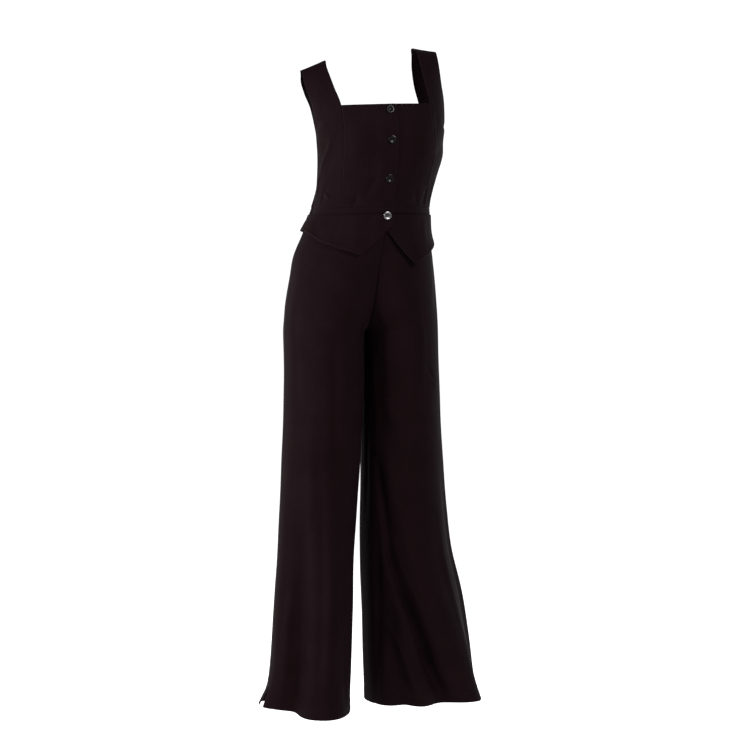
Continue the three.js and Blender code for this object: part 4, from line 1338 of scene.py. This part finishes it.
def thread_bars(turn, thick):
    """Four strands over each pair of holes: half rounds between the two holes, side by side."""
    holes = button_holes(turn)
    bars = []
    stations, sides = THREAD["stations"], THREAD["sides"]
    arc = np.linspace(0, math.pi, stations)
    ring = np.arange(sides) * 2 * math.pi / sides
    for a, b in ((0, 1), (3, 2)):
        run = holes[b] - holes[a]
        length = np.linalg.norm(run)
        along_x, side = run / length, np.array([-run[1], run[0]]) / length
        for k in range(THREAD["strands"]):
            aside = (k - (THREAD["strands"] - 1) / 2) * THREAD["apart"]
            middle = (holes[a] + holes[b]) / 2 + side * aside
            flat = middle[None] - np.cos(arc)[:, None] * along_x * (length / 2 - 0.1)
            lift = thick - BUTTON["dish"] - 0.5 + 1.0 * np.sin(arc) ** 0.6
            centre = np.column_stack([flat, lift])
            heading = np.gradient(centre, axis=0)
            heading /= np.linalg.norm(heading, axis=1, keepdims=True)
            across = np.array([*side, 0])
            up = np.cross(heading, across)
            tube = centre[:, None] + THREAD["radius"] * (
                np.cos(ring)[None, :, None] * across + np.sin(ring)[None, :, None] * up[:, None]
            )
            at = np.arange(stations * sides).reshape(stations, sides)
            after = np.roll(at, -1, axis=1)
            cells = np.stack([at[:-1], after[:-1], after[1:], at[1:]], axis=-1).reshape(-1, 4)
            bars.append((tube.reshape(-1, 3), cells.tolist() + [at[0][::-1].tolist(), at[-1].tolist()]))
    return joined(bars)


def placed(points, place, out):
    """Points with their height along out and their first two axes level and upright."""
    across = np.cross([0, 0, 1], out)
    across /= np.linalg.norm(across)
    upright = np.cross(out, across)
    return place + points @ np.stack([across, upright, out])


def buttonhole(place, out):
    """Satin stitches round a slit to the wearer's right: a circle drawn out, its ends clipped."""
    count = BUTTONHOLE["stitches"]
    turn = np.linspace(0, 2 * math.pi, count, endpoint=False)
    along_x = np.clip(np.cos(turn) * 1.25, -1, 1) * BUTTONHOLE["half"]
    aside = np.clip(np.sin(turn) * 2.4, -1, 1)
    below = np.full(count, BUTTONHOLE["below"])
    spots = np.column_stack([along_x + BUTTONHOLE["aside"], aside * BUTTONHOLE["lip"], below])
    heading = np.column_stack([np.cos(turn) * (np.abs(aside) < 0.8), np.sin(turn), 0 * turn])
    heading /= np.maximum(np.linalg.norm(heading, axis=1, keepdims=True), 1e-6)
    across = np.cross([0, 0, 1], out)
    across /= np.linalg.norm(across)
    basis = np.stack([across, np.cross(out, across), out])
    outs = np.repeat(out[None], count, axis=0)
    bite, radius = BUTTONHOLE["bite"], BUTTONHOLE["radius"]
    return stitches(placed(spots, place, out), outs, heading @ basis, bite, radius)


def button_piece(name, place, out, turn, settings, finish):
    """A turned button with four wells, riding in place of its part."""
    radius, thick = settings.radius / MM, settings.thickness / MM
    across, height = button_profile(radius, thick)
    points, faces = turned_solid(across, height, BUTTON["sides"], wells_for(turn, thick))
    made = add_object(f"{name}_turned", placed(points, place, out), faces, finish)
    # The "sunk" attribute marks the dish where the silver material paints a dark reflection.
    sunk = 1 - smooth(np.hypot(points[:, 0], points[:, 1]), radius - 3.6, radius - 2.4)
    layer = made.data.attributes.new("sunk", "FLOAT", "POINT")
    layer.data.foreach_set("value", (0.75 * sunk).astype(np.float32))
    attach(made, "root")
    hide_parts(name)
    return made


# ---------------------------------------------------------------- operators
class JUMPSUIT_OT_bodice(bpy.types.Operator):
    """Make the buttoned front, its sides with the straps, and the back"""

    bl_idname = "jumpsuit.bodice"
    bl_label = "Bodice"

    def execute(self, context):
        settings = context.scene.jumpsuit_cloth
        centre_piece("front_centre_right", -1, settings)
        centre_piece("front_centre_left", 1, settings)
        side_piece("front_side_right", -1, settings)
        side_piece("front_side_left", 1, settings)
        back_piece("back_bodice", settings)
        return {"FINISHED"}


class JUMPSUIT_OT_waistband(bpy.types.Operator):
    """Make the waistband, gathered on elastic behind"""

    bl_idname = "jumpsuit.waistband"
    bl_label = "Waistband"

    def execute(self, context):
        settings = context.scene.jumpsuit_cloth
        band_piece("waistband_front_right", -1, settings)
        band_piece("waistband_front_left", 1, settings)
        back_band_piece("waistband_back", settings)
        return {"FINISHED"}


class JUMPSUIT_OT_peplum(bpy.types.Operator):
    """Make the peplum with its two points in front"""

    bl_idname = "jumpsuit.peplum"
    bl_label = "Peplum"

    def execute(self, context):
        settings = context.scene.jumpsuit_cloth
        lap = math.degrees(math.asin(LAP_REACH / LEGS["right"]["front"][0]))
        side = 90 - math.degrees(SEAM_ANGLE)
        peplum_piece("peplum_front_right", "front_right", (-side, lap), lap_rise, settings)
        peplum_piece("peplum_front_left", "front_left", (-lap, side), no_rise, settings)
        peplum_piece("peplum_back", "back", (180 - side, 180 + side), back_rise, settings)
        return {"FINISHED"}


class JUMPSUIT_OT_trousers(bpy.types.Operator):
    """Make the four panels of the trouser legs"""

    bl_idname = "jumpsuit.trousers"
    bl_label = "Trousers"

    def execute(self, context):
        settings = context.scene.jumpsuit_cloth
        for leg in ("right", "left"):
            for face in ("front", "back"):
                trouser_piece(f"trouser_{face}_{leg}", leg, face, settings)
        return {"FINISHED"}


class JUMPSUIT_OT_buttons(bpy.types.Operator):
    """Make the three black buttons and the silver one, with their thread and buttonholes"""

    bl_idname = "jumpsuit.buttons"
    bl_label = "Buttons"

    def execute(self, context):
        settings = context.scene.jumpsuit_buttons
        thick = settings.thickness / MM
        resin = material("black_resin", resin_material, settings)
        silver = material("silver_metal", silver_material, settings)
        strands, holes = [], []
        fronts = [(f"button_{k + 1}", *button_frame(f"button_{k + 1}", row), resin, "black_button")
                  for k, row in enumerate(BUTTON_ROWS)]
        waist = ("button_waist", *waist_button_frame("button_waist"), silver, "metal_button")
        for k, (name, place, out, finish, slot) in enumerate([*fronts, waist]):
            turn = BUTTON_TURNS[k]
            button_piece(name, place, out, turn, settings, finish)
            points, faces = thread_bars(turn, thick)
            strands.append((placed(points, place, out), faces))
            holes.append(buttonhole(place, out))
        thread = material("sewing_thread", thread_material)
        for name, parts in (("button_threads", strands), ("buttonholes", holes)):
            made = add_object(name, *joined(parts), thread)
            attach(made, "root")
        return {"FINISHED"}


class JUMPSUIT_OT_stitching(bpy.types.Operator):
    """Make the rows of stitching that the other pieces have marked"""

    bl_idname = "jumpsuit.stitching"
    bl_label = "Stitching"

    def execute(self, context):
        thread = material("sewing_thread", thread_material)
        for group, rows in SEWN.items():
            made = add_object(f"stitching_{group}", *joined(rows), thread)
            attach(made, "root")
        return {"FINISHED"}


def studio_world(settings, ahead):
    """A dim room with a bright white backdrop in one direction.

    The tone is room + (backdrop - room) * t, where t climbs with the cosine to that direction.
    """
    world = bpy.data.worlds.new("studio")
    world.use_nodes = True
    recipe = Recipe(world.node_tree, "Background")
    dot = {"operation": "DOT_PRODUCT"}
    toward = recipe.node("ShaderNodeVectorMath", dot, {0: recipe.objects(), 1: ahead}, output="Value")
    limits = {"Value": toward, "From Min": settings.backdrop_edge, "From Max": 0.85}
    climb = recipe.node("ShaderNodeMapRange", {"interpolation_type": "SMOOTHSTEP"}, limits)
    tone = climb * (settings.backdrop - settings.room) + settings.room
    recipe.feed(recipe.shader.inputs["Color"], tone)
    return world


def aim(thing, place, target):
    """Puts a camera or light at a place, looking at a target."""
    thing.location = place
    thing.rotation_euler = (Vector(target) - Vector(place)).to_track_quat("-Z", "Y").to_euler()
    bpy.context.scene.collection.objects.link(thing)


def add_panel_light(name, place, target, width, height, power):
    """A soft rectangular light."""
    light = bpy.data.lights.new(name, "AREA")
    light.shape, light.size, light.size_y, light.energy = "RECTANGLE", width, height, power
    aim(bpy.data.objects.new(name, light), place, target)


class JUMPSUIT_OT_stage(bpy.types.Operator):
    """Make the pale floor, the soft lights and the camera"""

    bl_idname = "jumpsuit.stage"
    bl_label = "Stage"

    def execute(self, context):
        scene, settings = context.scene, context.scene.jumpsuit_stage
        low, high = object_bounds()
        level = low.z - settings.drop
        ring = np.array(FLOOR_RINGS) / MM
        turn = np.arange(FLOOR_SIDES) * 2 * math.pi / FLOOR_SIDES
        shape = (len(ring), FLOOR_SIDES)
        points = np.stack([ring[:, None] * np.cos(turn), ring[:, None] * np.sin(turn),
                           np.full(shape, level / MM)], axis=-1)
        at = np.arange(ring.size * FLOOR_SIDES).reshape(shape)
        after = np.roll(at, -1, axis=1)
        cells = np.stack([at[:-1], at[1:], after[1:], after[:-1]], axis=-1).reshape(-1, 4).tolist()
        heading, fall = settings.camera_turn, settings.camera_fall
        back = Vector((-math.sin(heading), -math.cos(heading), 0))
        ahead = tuple(-back)
        floor = add_object("studio_floor", points.reshape(-1, 3), cells + [at[0].tolist()],
                           material("studio_floor", floor_material, settings, ahead))
        floor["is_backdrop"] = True
        middle = (low + high) / 2
        right = Vector((math.cos(heading), -math.sin(heading), 0))
        place = back * settings.camera_distance + Vector((0, 0, settings.camera_level))
        target = right * settings.camera_aside
        target.z = settings.camera_level - settings.camera_distance * math.tan(fall)
        camera = bpy.data.objects.new("camera", bpy.data.cameras.new("camera"))
        camera.data.lens, camera.data.sensor_width = settings.lens, 36
        aim(camera, place, target)
        scene.camera = camera
        for name, (toward, aside, up, aim_up, width, height, power) in LIGHTS.items():
            spot = back * toward + right * aside + Vector((0, 0, up))
            add_panel_light(name, spot, middle + Vector((0, 0, aim_up)), width, height, power)
        scene.world = studio_world(settings, ahead)
        scene.view_settings.view_transform = "Standard"
        return {"FINISHED"}


PIECES = ("bodice", "waistband", "peplum", "trousers", "buttons", "stitching", "stage")


class JUMPSUIT_PT_sidebar(bpy.types.Panel):
    """Lists what the jumpsuit is made of"""

    bl_label = "Jumpsuit"
    bl_idname = "JUMPSUIT_PT_sidebar"
    bl_space_type = "VIEW_3D"
    bl_region_type = "UI"
    bl_category = "Jumpsuit"

    def draw(self, context):
        for name in ("jumpsuit_cloth", "jumpsuit_buttons", "jumpsuit_stage"):
            group = getattr(context.scene, name)
            for key in group.__annotations__:
                self.layout.prop(group, key)
        for name in PIECES:
            self.layout.operator(f"jumpsuit.{name}")


CLASSES = (
    ClothSettings,
    ButtonSettings,
    StageSettings,
    JUMPSUIT_OT_bodice,
    JUMPSUIT_OT_waistband,
    JUMPSUIT_OT_peplum,
    JUMPSUIT_OT_trousers,
    JUMPSUIT_OT_buttons,
    JUMPSUIT_OT_stitching,
    JUMPSUIT_OT_stage,
    JUMPSUIT_PT_sidebar,
)


def register():
    for item in CLASSES:
        bpy.utils.register_class(item)
    bpy.types.Scene.jumpsuit_cloth = PointerProperty(type=ClothSettings)
    bpy.types.Scene.jumpsuit_buttons = PointerProperty(type=ButtonSettings)
    bpy.types.Scene.jumpsuit_stage = PointerProperty(type=StageSettings)


def unregister():
    del bpy.types.Scene.jumpsuit_stage
    del bpy.types.Scene.jumpsuit_buttons
    del bpy.types.Scene.jumpsuit_cloth
    for item in reversed(CLASSES):
        bpy.utils.unregister_class(item)


def main():
    register()
    for name in PIECES:
        getattr(bpy.ops.jumpsuit, name)()


if __name__ == "__main__":
    main()
